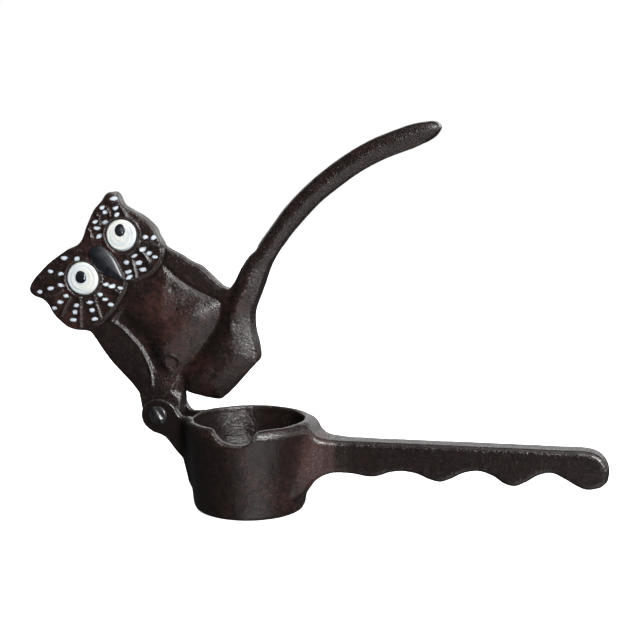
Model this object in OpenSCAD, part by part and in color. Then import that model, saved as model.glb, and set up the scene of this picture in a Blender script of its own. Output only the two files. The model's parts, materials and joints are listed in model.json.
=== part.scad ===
// Lever nutcracker press: a cup with a finger-grip handle, and an owl-shaped lever hinged to its rim.
// The cup's axis is the Z axis, the table is z = 0, the handle runs along +X and the owl faces -Y.
// The lever is drawn closed, upright over the cup, and then turned open about the hinge rivet.

/* [Cup] */
// Outer radius of the cup at its rim
cup_rim_r = 24.8; // [20:0.2:32]
// Outer radius of the cup where it stands on the table
cup_foot_r = 20.8; // [15:0.2:27]
// Height of the rim above the table
cup_h = 32.5; // [28:0.5:42]
// Thickness of the wall, measured at the rim
cup_wall = 4.5; // [3:0.1:6]
// Thickness of the cup's floor
cup_floor = 6; // [3:0.5:10]
// How much the inside narrows from the rim to the floor
bowl_draft = 2.5; // [0:0.5:5]
// Radius of the bowl's inner corner
bowl_corner_r = 6; // [1:0.5:9]
// Radius of the round edge along the foot
foot_edge_r = 2.2; // [0.4:0.1:3]
// Radius of the round edges of the rim
rim_edge_r = 1.2; // [0.4:0.1:1.6]

/* [Rim notch] */
// Half the width of the notch at the rim
notch_half_w = 8; // [4:0.5:11]
// Depth of the notch below the rim
notch_depth = 5.5; // [2:0.5:9]
// Place of the notch along the handle's direction
notch_x = 0.5; // [-4:0.5:4]

/* [Handle] */
// Distance from the cup's axis to the handle's far end
handle_reach = 130; // [110:1:160]
// Width of the handle
handle_w = 9.2; // [7:0.2:14]
// Depth of the handle's flat top below the rim, next to the cup
handle_drop = 5.5; // [3:0.1:8]
// How far the top climbs towards the far end
handle_rise = 1.1; // [0:0.1:3]
// Depth of the handle at its finger ridges, next to the cup
handle_depth = 12; // [9:0.1:14]
// Height of the finger hollows above the ridges, from the cup outwards
hollow_rise = [2.7, 4.2, 4.9];
// Distance from one finger ridge to the next
finger_pitch = 25.8; // [22:0.2:29]
// Half the width of the flared root where it meets the cup
root_half_w = 10; // [7:0.5:13]
// Length of the flared root outside the cup
root_len = 16; // [8:0.5:22]
// Height above the table where the root's underside meets the cup
root_foot = 5.4; // [2:0.2:8]

/* [Hinge] */
// Distance of the hinge axis outside the rim
pivot_out = 7.9; // [7.6:0.1:11]
// Height of the hinge axis above the rim
pivot_up = 1.7; // [0:0.1:4]
// Radius of the lugs round the hinge
lug_r = 6.4; // [5:0.1:8]
// Thickness of each lug
lug_t = 3.2; // [2:0.1:4]
// Radius of the rivet's shank
rivet_r = 2.2; // [1.5:0.1:3]
// Radius of the rivet's two heads
rivet_head_r = 3.8; // [3:0.1:5]
// Height of the rivet's domed heads
rivet_head_h = 1.3; // [0.6:0.1:2]
// Radial running gap between the rivet and the lever
rivet_gap = 0.08; // [0.04:0.01:0.1]
// Gap on each side of the lever's tongue
side_gap = 0.15; // [0.1:0.05:0.4]
// Gap between the tongue and the bottom of its slot
slot_gap = 0.5; // [0.3:0.1:1]

/* [Lever] */
// Thickness of the owl's plate
plate_t = 5.2; // [4:0.2:8]
// Thickness of the tongue that runs on the rivet
tongue_t = 8.8; // [7:0.2:12]
// Thickness of the lever's grip
grip_t = 8.4; // [6:0.2:11]
// Thickness of the pressing foot
press_t = 11.2; // [9:0.2:16]
// How much lower the faces of the grip and the foot lie along their outer edges
edge_drop = 0.8; // [0.2:0.1:1.2]
// Width of the step round those edges
edge_step = 1.2; // [0.4:0.1:2]
// Radius of the tongue round the rivet
tongue_r = 7.2; // [5.5:0.1:7.4]
// Distance of the pressing face below the rim when the lever is closed
press_drop = 11.5; // [8:0.1:16]
// Room between the pressing face's corner and the bowl's narrowest wall
press_clear = 5.7; // [4:0.1:9]
// Distance from the cup's axis to the tip of the grip when the lever is closed
grip_reach = 114; // [95:0.5:130]
// Angle between the closed lever and the drawn, open one
open_angle = 48; // [0:1:60]

/* [Owl] */
// How far the face stands proud of the plate
face_rise = 0.7; // [0.4:0.1:2]
// How far the breast stands proud of the plate
breast_rise = 2.9; // [1:0.1:4]
// Width of the breast's low edge round its crown
breast_margin = 3; // [1:0.5:6]
// How far the round eyes stand proud of the face
eye_rise = 0.7; // [0.3:0.1:1.5]
// How far the beak stands proud of the face
beak_rise = 1.5; // [0.5:0.1:3]
// Radii of the left and the right eye
eye_r = [6.1, 5.8];
// Radius of the painted pupils
pupil_r = 2.3; // [1.5:0.1:3]
// Thickness of the enamel coats
enamel_t = 0.3; // [0.1:0.05:0.5]

/* [Hidden] */

iron = [0.16, 0.12, 0.11];
steel = [0.2, 0.18, 0.17];
white = [0.88, 0.9, 0.9];
black = [0.07, 0.07, 0.09];

arc_steps = 8;  // chords in a quarter turn of a drawn edge
curve_steps = 4;  // chords between two points of a drawn outline
overlap = 1;  // how deep one form of a casting runs into the next
fine = 96;

pivot = [-(cup_rim_r + pivot_out), cup_h + pivot_up];
slot_t = tongue_t + 2 * side_gap;
hinge_w = slot_t + 2 * lug_t;
bowl_rim_r = cup_rim_r - cup_wall;
bowl_floor_r = bowl_rim_r - bowl_draft;

// The tongue's lower edge when closed: from its disc, over the rim, into the bowl
tongue_low = [[pivot[0] + tongue_r * sin(open_angle), pivot_up - tongue_r * cos(open_angle)],
              [0.3 - bowl_rim_r, 1.8]];

// Points of an arc, from angle a to angle b
function arc(centre, r, a, b, steps = arc_steps) =
    [for (i = [0:steps]) centre + r * [cos(a + (b - a) * i / steps), sin(a + (b - a) * i / steps)]];

// A point of the smooth curve that runs from p1 to p2, between p0 and p3
function between(p0, p1, p2, p3, t) =
    0.5 * (2 * p1 + (p2 - p0) * t + (2 * p0 - 5 * p1 + 4 * p2 - p3) * t * t
           + (3 * p1 - p0 - 3 * p2 + p3) * t * t * t);

// A smooth open curve through the points
function curve(p, steps = curve_steps) =
    let (last = len(p) - 1)
    concat([for (i = [0:last - 1], k = [0:steps - 1])
                between(p[max(i - 1, 0)], p[i], p[i + 1], p[min(i + 2, last)], k / steps)],
           [p[last]]);

// The casting's outlines have x from the cup's axis and height from the rim, with the lever closed
module closed_plate(outline, thickness, inset = 0) {
    translate([0, 0, cup_h])
        rotate([90, 0, 0])
            linear_extrude(thickness, center = true)
                offset(delta = -inset)
                    polygon(outline);
}

// A plate whose outer edge is a step thinner
module stepped_plate(outline, thickness) {
    closed_plate(outline, thickness - 2 * edge_drop);
    closed_plate(outline, thickness, edge_step);
}

// Turns what is drawn closed to the open pose
module opened() {
    translate([pivot[0], 0, pivot[1]])
        rotate([0, -open_angle, 0])
            translate([-pivot[0], 0, -pivot[1]])
                children();
}

// A round bar along Y, on the hinge axis
module hinge_bar(r, length) {
    translate([pivot[0], 0, pivot[1]])
        rotate([90, 0, 0])
            cylinder(r = r, h = length, center = true, $fn = fine);
}

// ---- Cup, lugs and handle: one casting ----

module cup_body() {
    profile = concat(
        [[0, 0]],
        arc([cup_foot_r - foot_edge_r, foot_edge_r], foot_edge_r, -90, -8),
        arc([cup_rim_r - rim_edge_r, cup_h - rim_edge_r], rim_edge_r, 0, 90),
        arc([bowl_rim_r + rim_edge_r, cup_h - rim_edge_r], rim_edge_r, 90, 180),
        arc([bowl_floor_r - bowl_corner_r, cup_floor + bowl_corner_r], bowl_corner_r, 0, -90),
        [[0, cup_floor]]);
    rotate_extrude($fn = fine) polygon(profile);
}

// The bowl alone, to clear it of the handle's root and of the lugs
module bowl_space() {
    profile = concat(
        [[0, cup_h + overlap], [bowl_rim_r, cup_h + overlap], [bowl_rim_r, cup_h - rim_edge_r]],
        arc([bowl_floor_r - bowl_corner_r, cup_floor + bowl_corner_r], bowl_corner_r, 0, -90),
        [[0, cup_floor]]);
    rotate_extrude($fn = fine) polygon(profile);
}

// The notch in the wall on the owl's face side, steeper towards the handle
module rim_notch() {
    edge = curve([
        [-notch_half_w - 1, overlap],
        [-notch_half_w, 0],
        [-0.7 * notch_half_w, -0.6 * notch_depth],
        [-0.3 * notch_half_w, -0.93 * notch_depth],
        [0.2 * notch_half_w, -notch_depth],
        [0.65 * notch_half_w, -0.75 * notch_depth],
        [0.85 * notch_half_w, -0.3 * notch_depth],
        [notch_half_w, 0],
        [notch_half_w + 0.5, overlap]]);
    translate([notch_x, 0, cup_h])
        rotate([90, 0, 0])
            linear_extrude(cup_rim_r + overlap)
                polygon(edge);
}

// Lugs and the web under them, seen from the front: x from the hinge axis, height from the hinge axis
module lug_block() {
    wall_x = pivot_out + cup_wall / 2;
    taper = (cup_rim_r - cup_foot_r) / cup_h;
    outline = concat(
        arc([0, 0], lug_r, 90, 222),
        [[-2, -lug_r], [0.6, -lug_r - 0.6], [2.8, -lug_r - 1.6], [4.6, -lug_r - 3.2],
         [6.4, -lug_r - 5.6]],
        [for (down = [14, 18, 22]) [pivot_out + down * taper + (down - 15.5) / 5, -down - 2]],
        [[wall_x + 22 * taper, -24], [wall_x, -pivot_up - rim_edge_r]],
        curve([[wall_x - 0.4, -pivot_up - 0.3], [pivot_out + 1.7, 0.8 - pivot_up],
               [pivot_out + 0.2, 2.6 - pivot_up], [lug_r + 0.3, lug_r / 2],
               [lug_r - 1, lug_r - 1.7], [lug_r - 3, lug_r - 0.7]]));
    translate([pivot[0], 0, pivot[1]])
        rotate([90, 0, 0])
            linear_extrude(hinge_w, center = true)
                polygon(outline);
}

// The room between the lugs that the tongue turns in, sloped like the closed tongue's edge
module tongue_slot() {
    run = tongue_low[1] - tongue_low[0];
    along = run / norm(run);
    below = slot_gap * [along[1], -along[0]];
    top = pivot_up + lug_r + 4;
    far = pivot[0] - lug_r - 4;
    hinge_bar(tongue_r + slot_gap, slot_t);
    closed_plate([tongue_low[0] + below, tongue_low[1] + below + 2 * along,
                  [tongue_low[1][0] + 2, top], [far, top], [far, pivot_up], [pivot[0], pivot_up]],
                 slot_t);
}

// Side view of the handle: flat top, finger ridges below, and the root that runs down the cup
handle_top = cup_h - handle_drop;
ridge_z = handle_top - handle_depth;
last_ridge_x = handle_reach - 7.4;  // the far end is a round knob over the last ridge

function top_z(x) = handle_top + handle_rise * (x - cup_rim_r) / (handle_reach - cup_rim_r);
function ridge_x(i) = last_ridge_x - finger_pitch * (3 - i);

// The underside, from the last ridge back to the first: one wave for each finger hollow
finger_wave = [for (i = [2:-1:0], k = [0:11])
    [ridge_x(i) + finger_pitch * (12 - k) / 12,
     ridge_z + hollow_rise[i] * (1 - cos(30 * k)) / 2]];

module handle_side() {
    root_fall = ridge_z - root_foot;
    knob_h = (top_z(last_ridge_x) - ridge_z) / 2;
    knob = [for (p = arc([0, 0], 1, 90, -90, 2 * arc_steps))
                [last_ridge_x + p[0] * (handle_reach - last_ridge_x),
                 ridge_z + knob_h * (1 + p[1])]];
    outline = concat(
        [[bowl_rim_r + cup_wall / 2, cup_h - 3]],
        curve([[cup_rim_r - 0.6, cup_h - 1.2], [cup_rim_r + 0.7, cup_h - 2.6],
               [cup_rim_r + 2.6, top_z(cup_rim_r) + 1], [cup_rim_r + 5.6, top_z(cup_rim_r) + 0.2],
               [cup_rim_r + 9, top_z(cup_rim_r + 9)]]),
        knob,
        [for (i = [1:len(finger_wave) - 1]) finger_wave[i]],
        curve([[ridge_x(0), ridge_z], [ridge_x(0) - 5, ridge_z + 0.7], [cup_rim_r + 9.6, ridge_z + 0.7],
               [cup_rim_r + 6.2, ridge_z - 0.1], [cup_rim_r + 2.6, ridge_z - 0.25 * root_fall],
               [cup_foot_r + 3.6, ridge_z - 0.6 * root_fall], [cup_foot_r + 1.6, root_foot]]),
        [[cup_foot_r - cup_wall / 2, root_foot]]);
    rotate([90, 0, 0])
        linear_extrude(2 * root_half_w, center = true)
            polygon(outline);
}

// Plan of the handle: a straight bar with a flared root and softened end corners
module handle_plan() {
    half = handle_w / 2;
    corner = 2.2;
    edge = concat(
        [[bowl_rim_r, root_half_w]],
        curve([[cup_rim_r - 2.5, root_half_w - 0.6],
               [cup_rim_r + 0.2 * root_len, half + 0.5 * (root_half_w - half)],
               [cup_rim_r + 0.5 * root_len, half + 0.16 * (root_half_w - half)],
               [cup_rim_r + root_len, half]]),
        arc([handle_reach - corner, half - corner], corner, 90, 0));
    linear_extrude(cup_h)
        polygon(concat(edge, [for (i = [len(edge) - 1:-1:0]) [edge[i][0], -edge[i][1]]]));
}

module cup_handle_casting() {
    color(iron)
    difference() {
        union() {
            cup_body();
            lug_block();
            intersection() {
                handle_side();
                handle_plan();
            }
        }
        bowl_space();
        rim_notch();
        tongue_slot();
        hinge_bar(rivet_r, hinge_w + 2 * overlap);
    }
}

// ---- Owl, pressing foot and grip: one casting ----

// Outline of the head, from the neck's left side over both ears to its right side
function head_edge() =
    curve([[-29.2, 41.7], [-32, 45.3], [-34, 49], [-34.4, 52.8], [-34.1, 56.6], [-32.9, 60.2],
           [-32.9, 63], [-34.3, 66.2], [-34, 69.1], [-30.4, 70.4], [-25, 70.3], [-19.4, 69.8],
           [-12.4, 68.1], [-6.8, 66], [-0.8, 67.9], [5.6, 69.8], [11.4, 70.6], [14, 70.4],
           [15.7, 69.2], [15.9, 67.4], [14.9, 65.2], [14.4, 62.5], [16.2, 56.2], [16.5, 52.5],
           [16.1, 49.1], [14.9, 46], [13.8, 41.6]]);

// The wing's right side, from the neck to the notch above the grip
function right_wing() =
    curve([[13.8, 41.6], [14.6, 39.3], [15.9, 34.6], [16.3, 31.2], [17.6, 27], [17.9, 21],
           [18.2, 16.6], [19.2, 14]]);

// The wing's left side, from the tongue up to the neck
function left_wing() =
    curve([[-35.7, 8.9], [-34.2, 10.7], [-32.8, 13], [-32.4, 17], [-32.2, 23], [-31.6, 29.6],
           [-30, 37.4], [-29.2, 41.7]]);

module owl_plate() {
    outline = concat(left_wing(), head_edge(), right_wing(),
                     [[19, 2], [0, -4], [4 - bowl_floor_r, -4], [2.3 - bowl_rim_r, -3.2],
                      [0.9 - bowl_rim_r, -0.8], tongue_low[1]]);
    closed_plate(outline, plate_t);
}

// The tongue: a disc round the rivet and the neck that joins it to the owl
module tongue() {
    x = pivot[0];
    h = pivot_up;
    hinge_bar(tongue_r, tongue_t);
    closed_plate([[x, h], tongue_low[0], tongue_low[1], [-19, 8], [-26, 14], [-33.6, 11.8],
                  [-34.2, 10.7], [-35.7, 8.9], [x - tongue_r * sin(30), h + tongue_r * cos(30)]],
                 tongue_t);
}

// The face: two rounded discs that meet in a point under the beak
module face_discs() {
    lower = curve([[13.4, 41.6], [11.7, 39.7], [8, 38.1], [4.3, 38.3], [0.5, 39.6], [-3.6, 41.9],
                   [-5, 42.9], [-8.1, 41], [-13.4, 39.2], [-18.7, 38.7], [-23.6, 39.6],
                   [-28.8, 42.4]]);
    closed_plate(concat(head_edge(), lower), face_t, edge_step + 0.4);
}

// The breast: a low bed, and a crown that stands in from its edge
module breast() {
    outline = concat(
        curve([[-16, 9.6], [-19.4, 13.6], [-20.4, 19], [-19.7, 27], [-19.4, 36]]),
        curve([[8.6, 36], [9.2, 30], [10.5, 23], [12, 17], [14.2, 12.2]]),
        curve([[10, 10.4], [3, 8.6], [-6, 7.8], [-12, 8]]));
    closed_plate(outline, plate_t + breast_rise);
    closed_plate(outline, plate_t + 2 * breast_rise, breast_margin);
}

// The grip leaves the foot just outside the rim
grip_root = [cup_rim_r + 2.8, 5.4];

// The block that presses the nut, from the breast down to its flat face
module pressing_foot() {
    b = -press_drop;
    w = bowl_floor_r;
    outline = concat(
        [[press_clear - w, b], [press_clear - 1.3 - w, b + 1.4], [1.9 - w, 0.57 * b], [0.1 - w, 0.31 * b],
         [-0.2 - w, 2], [-16.4, 6.4]],
        curve([[-12.6, 7], [-2.8, 7.4], [7.2, 9], [14.4, 11.8], [19.2, 13.6]]),
        [[grip_root[0] - 3.8, 13.7], [grip_root[0] - 1.2, 14]],
        curve([grip_root, [bowl_rim_r + 1.2, 2.7], [w - 0.2, 0.3], [w - 3.4, 0.26 * b],
               [w - 6, 0.6 * b], [w - 3.1 - press_clear, b + 1.1]]),
        [[w - 4.5 - press_clear, b]]);
    stepped_plate(outline, press_t);
}

// The curved grip, from inside the pressing foot to its round tip: x from the root, height above it
module grip() {
    top = [[1.7, 9.9], [6.1, 10.7], [9.4, 10.5], [14.1, 11.3], [26.8, 12.6], [34.4, 12.6], [42.4, 12],
           [50.9, 10.6], [59.2, 8.6], [66.8, 6], [73.7, 2.7], [79.4, -0.4], [84.1, -3.9], [86.3, -6.2]];
    under = [[86, -8.6], [83.8, -9.2], [81, -8.8], [69.5, -3.6], [62.2, -0.5], [55.7, 1.7],
             [48.6, 3.5], [39.1, 5.1], [32.2, 5.5], [25.3, 5.5], [18.3, 5.1], [11.2, 4], [6, 2.5]];
    stretch = (grip_reach - grip_root[0]) / 86.4;
    function placed(points) = [for (p = points) [grip_root[0] + stretch * p[0], grip_root[1] + p[1]]];
    outline = curve(concat(
        [[grip_root[0] - 11.6, 12.6], [grip_root[0] - 3.8, 13.7]],
        placed(top),
        placed(under),
        [grip_root, [bowl_rim_r, 2.2], [bowl_rim_r - 4, 1.6]]));
    stepped_plate(outline, grip_t);
}

eye_at = [[-15.7, 56.4], [6.6, 56.1]];  // centres of the eyes
pupil_at = [[-15.4, 57], [8, 57.4]];  // the owl looks up and a little to its left
face_t = plate_t + 2 * face_rise;
eye_t = face_t + 2 * eye_rise;
beak_t = face_t + 2 * beak_rise;

// A round form through the plate at a point of the owl's face
module face_round(at, r, thickness) {
    translate([at[0], 0, cup_h + at[1]])
        rotate([90, 0, 0])
            cylinder(r = r, h = thickness, center = true, $fn = fine);
}

module beak_shape(thickness) {
    closed_plate(curve([[-4.9, 44.6], [-6.9, 48], [-8.9, 52.4], [-9.2, 56.3], [-7.8, 60.2], [-5.2, 61.7],
                        [-2.7, 60.1], [-1.5, 57.2], [-1.9, 53.5], [-3, 49.6], [-4.9, 44.6]]),
                 thickness);
}

module owl_lever_casting() {
    color(iron)
    opened()
    difference() {
        union() {
            owl_plate();
            tongue();
            face_discs();
            breast();
            pressing_foot();
            grip();
            for (i = [0:1]) face_round(eye_at[i], eye_r[i], eye_t);
            beak_shape(beak_t);
        }
        hinge_bar(rivet_r + rivet_gap, tongue_t + 2 * overlap);
    }
}

// ---- Rivet ----

module rivet_head(side) {
    dome_r = (rivet_head_r * rivet_head_r + rivet_head_h * rivet_head_h) / (2 * rivet_head_h);
    half_angle = asin(rivet_head_r / dome_r);
    base = hinge_w / 2;
    translate([pivot[0], 0, pivot[1]])
        rotate([-side * 90, 0, 0])
            translate([0, 0, base])
                rotate_extrude($fn = fine)
                    polygon(concat([[0, 0]],
                                   arc([0, rivet_head_h - dome_r], dome_r, 90 - half_angle, 90)));
}

module hinge_rivet() {
    color(steel)
    union() {
        hinge_bar(rivet_r, hinge_w);
        rivet_head(-1);
        rivet_head(1);
    }
}

// ---- Enamel: thin coats on both faces of the owl ----

// What is drawn for both faces, without the metal between them
module coats(inner_t) {
    opened()
    difference() {
        children();
        translate([pivot[0], 0, pivot[1]])
            cube([400, inner_t, 400], center = true);
    }
}

module eye_whites() {
    color(white)
    coats(eye_t)
        for (i = [0:1]) face_round(eye_at[i], eye_r[i], eye_t + 2 * enamel_t);
}

module pupils() {
    color(black)
    coats(eye_t + 2 * enamel_t)
        for (p = pupil_at) face_round(p, pupil_r, eye_t + 4 * enamel_t);
}

module beak_enamel() {
    color(black)
    coats(beak_t)
        beak_shape(beak_t + 2 * enamel_t);
}

cup_handle_casting();
owl_lever_casting();
hinge_rivet();
eye_whites();
pupils();
beak_enamel();
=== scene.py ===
"""Lever nutcracker press: the looks of a cast-iron owl press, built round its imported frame.

Lengths inside the forms are in millimetres. The owl is drawn as it stands with the lever closed: x is
the distance from the cup's axis and h the height above the cup's rim. It is then turned open.
"""

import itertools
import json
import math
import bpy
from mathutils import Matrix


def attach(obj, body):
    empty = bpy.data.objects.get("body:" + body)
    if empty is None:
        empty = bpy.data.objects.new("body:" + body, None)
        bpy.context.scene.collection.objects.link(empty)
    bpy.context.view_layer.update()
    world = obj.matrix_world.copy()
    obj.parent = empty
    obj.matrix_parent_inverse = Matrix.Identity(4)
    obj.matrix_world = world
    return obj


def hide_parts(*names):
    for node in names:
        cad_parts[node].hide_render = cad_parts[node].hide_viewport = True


bl_info = {
    "name": "Lever Nutcracker Press",
    "version": (1, 0, 0),
    "blender": (4, 5, 0),
    "location": "View3D > Sidebar > Press",
    "description": "Builds a cast-iron owl press, its enamel and its studio round a packed frame",
    "category": "Add Mesh",
}

import bmesh
import bpy
import numpy as np
from bpy.props import FloatProperty, FloatVectorProperty, PointerProperty
from mathutils import Euler, Vector

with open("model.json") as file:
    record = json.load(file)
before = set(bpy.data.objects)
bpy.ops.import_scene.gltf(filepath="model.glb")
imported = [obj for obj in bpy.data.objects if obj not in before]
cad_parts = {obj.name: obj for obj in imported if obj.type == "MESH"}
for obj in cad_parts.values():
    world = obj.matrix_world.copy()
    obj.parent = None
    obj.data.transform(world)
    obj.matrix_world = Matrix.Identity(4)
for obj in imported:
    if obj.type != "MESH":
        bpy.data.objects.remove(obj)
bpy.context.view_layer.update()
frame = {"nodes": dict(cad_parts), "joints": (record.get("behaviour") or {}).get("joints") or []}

MM = 0.001
PIVOT_X, _, PIVOT_Z = [value / MM for value in frame["joints"][0]["pos_m"]]
CUP_H = 32.5
PIVOT_H = PIVOT_Z - CUP_H
CORNERS = list(itertools.product((0, 1), repeat=3))


# ---- Drawn curves and flat maps ----


def smooth_path(points, steps=6, closed=False):
    """A smooth curve through the points."""
    points = np.array(points, float)
    if closed:
        padded = np.vstack([points[-1], points, points[:2]])
    else:
        padded = np.vstack([points[0], points, points[-1]])
    found = []
    for a, b, c, d in zip(padded, padded[1:], padded[2:], padded[3:]):
        for t in np.arange(steps) / steps:
            found.append(0.5 * (2 * b + (c - a) * t + (2 * a - 5 * b + 4 * c - d) * t * t
                                + (3 * b - a - 3 * c + d) * t ** 3))
    if not closed:
        found.append(points[-1])
    return np.array(found)


def path_distance(path, x, h, closed=False):
    """Distance from each point to the path; on a closed path it is positive inside."""
    ends = np.roll(path, -1, axis=0) if closed else path[1:]
    nearest = np.full(np.shape(x), 1e9, np.float32)
    crossings = np.zeros(np.shape(x), bool)
    for (ax, ah), (bx, bh) in zip(path, ends):
        run_x, run_h = bx - ax, bh - ah
        length = run_x ** 2 + run_h ** 2
        if length < 1e-9:
            continue
        along = np.clip(((x - ax) * run_x + (h - ah) * run_h) / length, 0, 1)
        away = (x - ax - along * run_x) ** 2 + (h - ah - along * run_h) ** 2
        nearest = np.minimum(nearest, away)
        if closed and run_h != 0:
            spans = (ah <= h) != (bh <= h)
            crossings ^= spans & (x < ax + (h - ah) * run_x / run_h)
    nearest = np.sqrt(nearest)
    return np.where(crossings, nearest, -nearest) if closed else nearest


def ease(value, start, end):
    """0 before start, 1 after end, and smooth between."""
    t = np.clip((value - start) / (end - start), 0, 1)
    return t * t * (3 - 2 * t)


def ridge(away, width):
    """1 on a line, fading out over the width on both of its sides."""
    return np.exp(-(away / width) ** 2)


def patch(x, h, centre_x, centre_h, wide, high):
    """1 at the centre, fading out over a half width and a half height."""
    return np.exp(-(((x - centre_x) / wide) ** 2 + ((h - centre_h) / high) ** 2))


def softened(values, radius, step):
    """The map with its corners rounded."""
    reach = int(3 * radius / step) + 1
    weights = np.exp(-0.5 * (np.arange(-reach, reach + 1) * step / radius) ** 2)
    weights /= weights.sum()
    for axis in (0, 1):
        pads = [(reach, reach) if a == axis else (0, 0) for a in (0, 1)]
        padded = np.pad(values, pads, mode="edge")
        size = values.shape[axis]
        values = sum(w * np.take(padded, range(i, i + size), axis) for i, w in enumerate(weights))
    return values


class FlatMap:
    """Values on a flat grid, read between its points."""

    def __init__(self, low, high, step):
        self.low = np.array(low, float)
        self.step = step
        axes = [np.arange(a, b + step, step) for a, b in zip(low, high)]
        self.x, self.h = np.meshgrid(*axes, indexing="ij")
        self.values = np.zeros(self.x.shape)

    def at(self, x, h):
        """The values at the points x and h."""
        u = np.clip((x - self.low[0]) / self.step, 0, self.values.shape[0] - 1.001)
        v = np.clip((h - self.low[1]) / self.step, 0, self.values.shape[1] - 1.001)
        i, j = u.astype(int), v.astype(int)
        u, v = u - i, v - j
        grid = self.values
        near = grid[i, j] * (1 - v) + grid[i, j + 1] * v
        far = grid[i + 1, j] * (1 - v) + grid[i + 1, j + 1] * v
        return near * (1 - u) + far * u

    def like(self, values):
        """Another map on the same grid."""
        other = object.__new__(FlatMap)
        other.low, other.step, other.x, other.h = self.low, self.step, self.x, self.h
        other.values = values
        return other


# ---- Solid forms as fields: positive inside ----


def rounded_meet(first, second, radius):
    """Where both are positive, with their meeting edge rounded."""
    a, b = radius - first, radius - second
    corner = np.hypot(np.maximum(a, 0), np.maximum(b, 0))
    return radius - corner - np.minimum(np.maximum(a, b), 0)


def blended_union(first, second, fillet):
    """Both forms, with a fillet in the corner between them."""
    share = np.clip(0.5 + 0.5 * (first - second) / fillet, 0, 1)
    return second * (1 - share) + first * share + fillet * share * (1 - share)


def carved(solid, hole, rounding):
    """The solid without the hole, with a rounded brink."""
    return -blended_union(-solid, hole, rounding)


def read_grid(grid, at):
    """Values between the points of a solid grid; at is counted in steps."""
    base = np.clip(np.floor(at).astype(int), 0, np.array(grid.shape) - 2)
    part = at - base
    total = np.zeros(len(at))
    for corner in CORNERS:
        weight = np.prod(np.where(corner, part, 1 - part), axis=1)
        total += weight * grid[tuple((base + corner).T)]
    return total


def skin(field):
    """Points and quads of the surface where the field is zero; the points are counted in steps."""
    inside = field > 0
    size = np.array(field.shape) - 1
    count = np.zeros(size, np.uint8)
    for corner in CORNERS:
        count += inside[tuple(slice(c, c + n) for c, n in zip(corner, size))]
    cells = np.argwhere((count > 0) & (count < len(CORNERS)))
    number = np.full(size, -1, np.int32)
    number[tuple(cells.T)] = np.arange(len(cells))
    total = np.zeros((len(cells), 3))
    hits = np.zeros(len(cells))
    for corner in CORNERS:
        for axis in range(3):
            if corner[axis]:
                continue
            step = np.eye(3, dtype=int)[axis]
            near = field[tuple((cells + corner).T)]
            far = field[tuple((cells + corner + step).T)]
            cut = (near > 0) != (far > 0)
            along = np.where(cut, near / np.where(cut, near - far, 1), 0)
            total += np.where(cut, 1, 0)[:, None] * (np.array(corner) + along[:, None] * step)
            hits += cut
    points = cells + total / hits[:, None]
    quads = []
    for axis in range(3):
        u, v = (axis + 1) % 3, (axis + 2) % 3
        span = [slice(1, n) for n in size]
        span[axis] = slice(0, size[axis])
        ahead = list(span)
        ahead[axis] = slice(1, size[axis] + 1)
        near, far = inside[tuple(span)], inside[tuple(ahead)]
        edges = np.argwhere(near != far)
        outward = near[tuple(edges.T)]
        edges[:, u] += 1
        edges[:, v] += 1
        step_u, step_v = np.eye(3, dtype=int)[u], np.eye(3, dtype=int)[v]
        ring = [edges - step_u - step_v, edges - step_v, edges, edges - step_u]
        quad = np.stack([number[tuple(cell.T)] for cell in ring], axis=1)
        quads.append(np.where(outward[:, None], quad, quad[:, ::-1]))
    return points, np.vstack(quads)


def slopes(grid, at):
    """Direction in which the field grows at each point."""
    reach = 0.5 * np.eye(3)
    rise = [read_grid(grid, at + step) - read_grid(grid, at - step) for step in reach]
    return np.stack(rise, axis=1)


def lumps(points, size, seed):
    """Smooth random heights from -1 to 1 whose bumps are about one size apart."""
    low = points.min(axis=0) - size
    counts = ((points.max(axis=0) - low) / size).astype(int) + 3
    heights = np.random.default_rng(seed).uniform(-1, 1, counts)
    at = (points - low) / size
    whole = np.floor(at)
    part = at - whole
    return read_grid(heights, whole + part * part * (3 - 2 * part))


def uneven(points, kinds):
    """Random heights of several kinds: each is given by its height, the size of its bumps and its seed."""
    return sum(height * lumps(points, size, seed) for height, size, seed in kinds)


CAST_LUMPS = [(0.09, 8.0, 1), (0.045, 2.6, 2), (0.035, 1.2, 3)]
CAST_SUNK = 0.06
LONGEST_MOVE = 0.5
WORN_STAND = 0.1


def cast_skin(field, low, step, still):
    """Points, outward directions and quads of a casting; still says where its surface stays smooth."""
    points, quads = skin(field)
    for _ in range(3):
        slope = slopes(field, points)
        steep = np.maximum((slope ** 2).sum(axis=1), 1e-9)
        move = -slope * (read_grid(field, points) / steep)[:, None]
        points = points + np.clip(move, -LONGEST_MOVE, LONGEST_MOVE)
    slope = slopes(field, points)
    outward = -slope / np.maximum(np.linalg.norm(slope, axis=1), 1e-9)[:, None]
    points = np.array(low) + points * step
    rough = uneven(points, CAST_LUMPS)
    points = points + outward * ((rough - CAST_SUNK) * (1 - still(points)))[:, None]
    return points, outward, quads


def smoothed(values, pairs, times):
    """Values on the points of a mesh, evened out along its edges."""
    count = np.bincount(pairs.ravel(), minlength=len(values))
    for _ in range(times):
        total = np.bincount(pairs[:, 0], values[pairs[:, 1]], len(values))
        total += np.bincount(pairs[:, 1], values[pairs[:, 0]], len(values))
        values = total / np.maximum(count, 1)
    return values


def worn_edges(points, outward, quads):
    """How far each point stands proud of its surroundings, where a hand wears the coat."""
    pairs = np.vstack([quads[:, [i, (i + 1) % 4]] for i in range(4)])
    nearby = np.stack([smoothed(points[:, axis], pairs, 7) for axis in range(3)], axis=1)
    proud = smoothed(((points - nearby) * outward).sum(axis=1), pairs, 2)
    return np.clip(proud / WORN_STAND, -1, 2)


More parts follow.
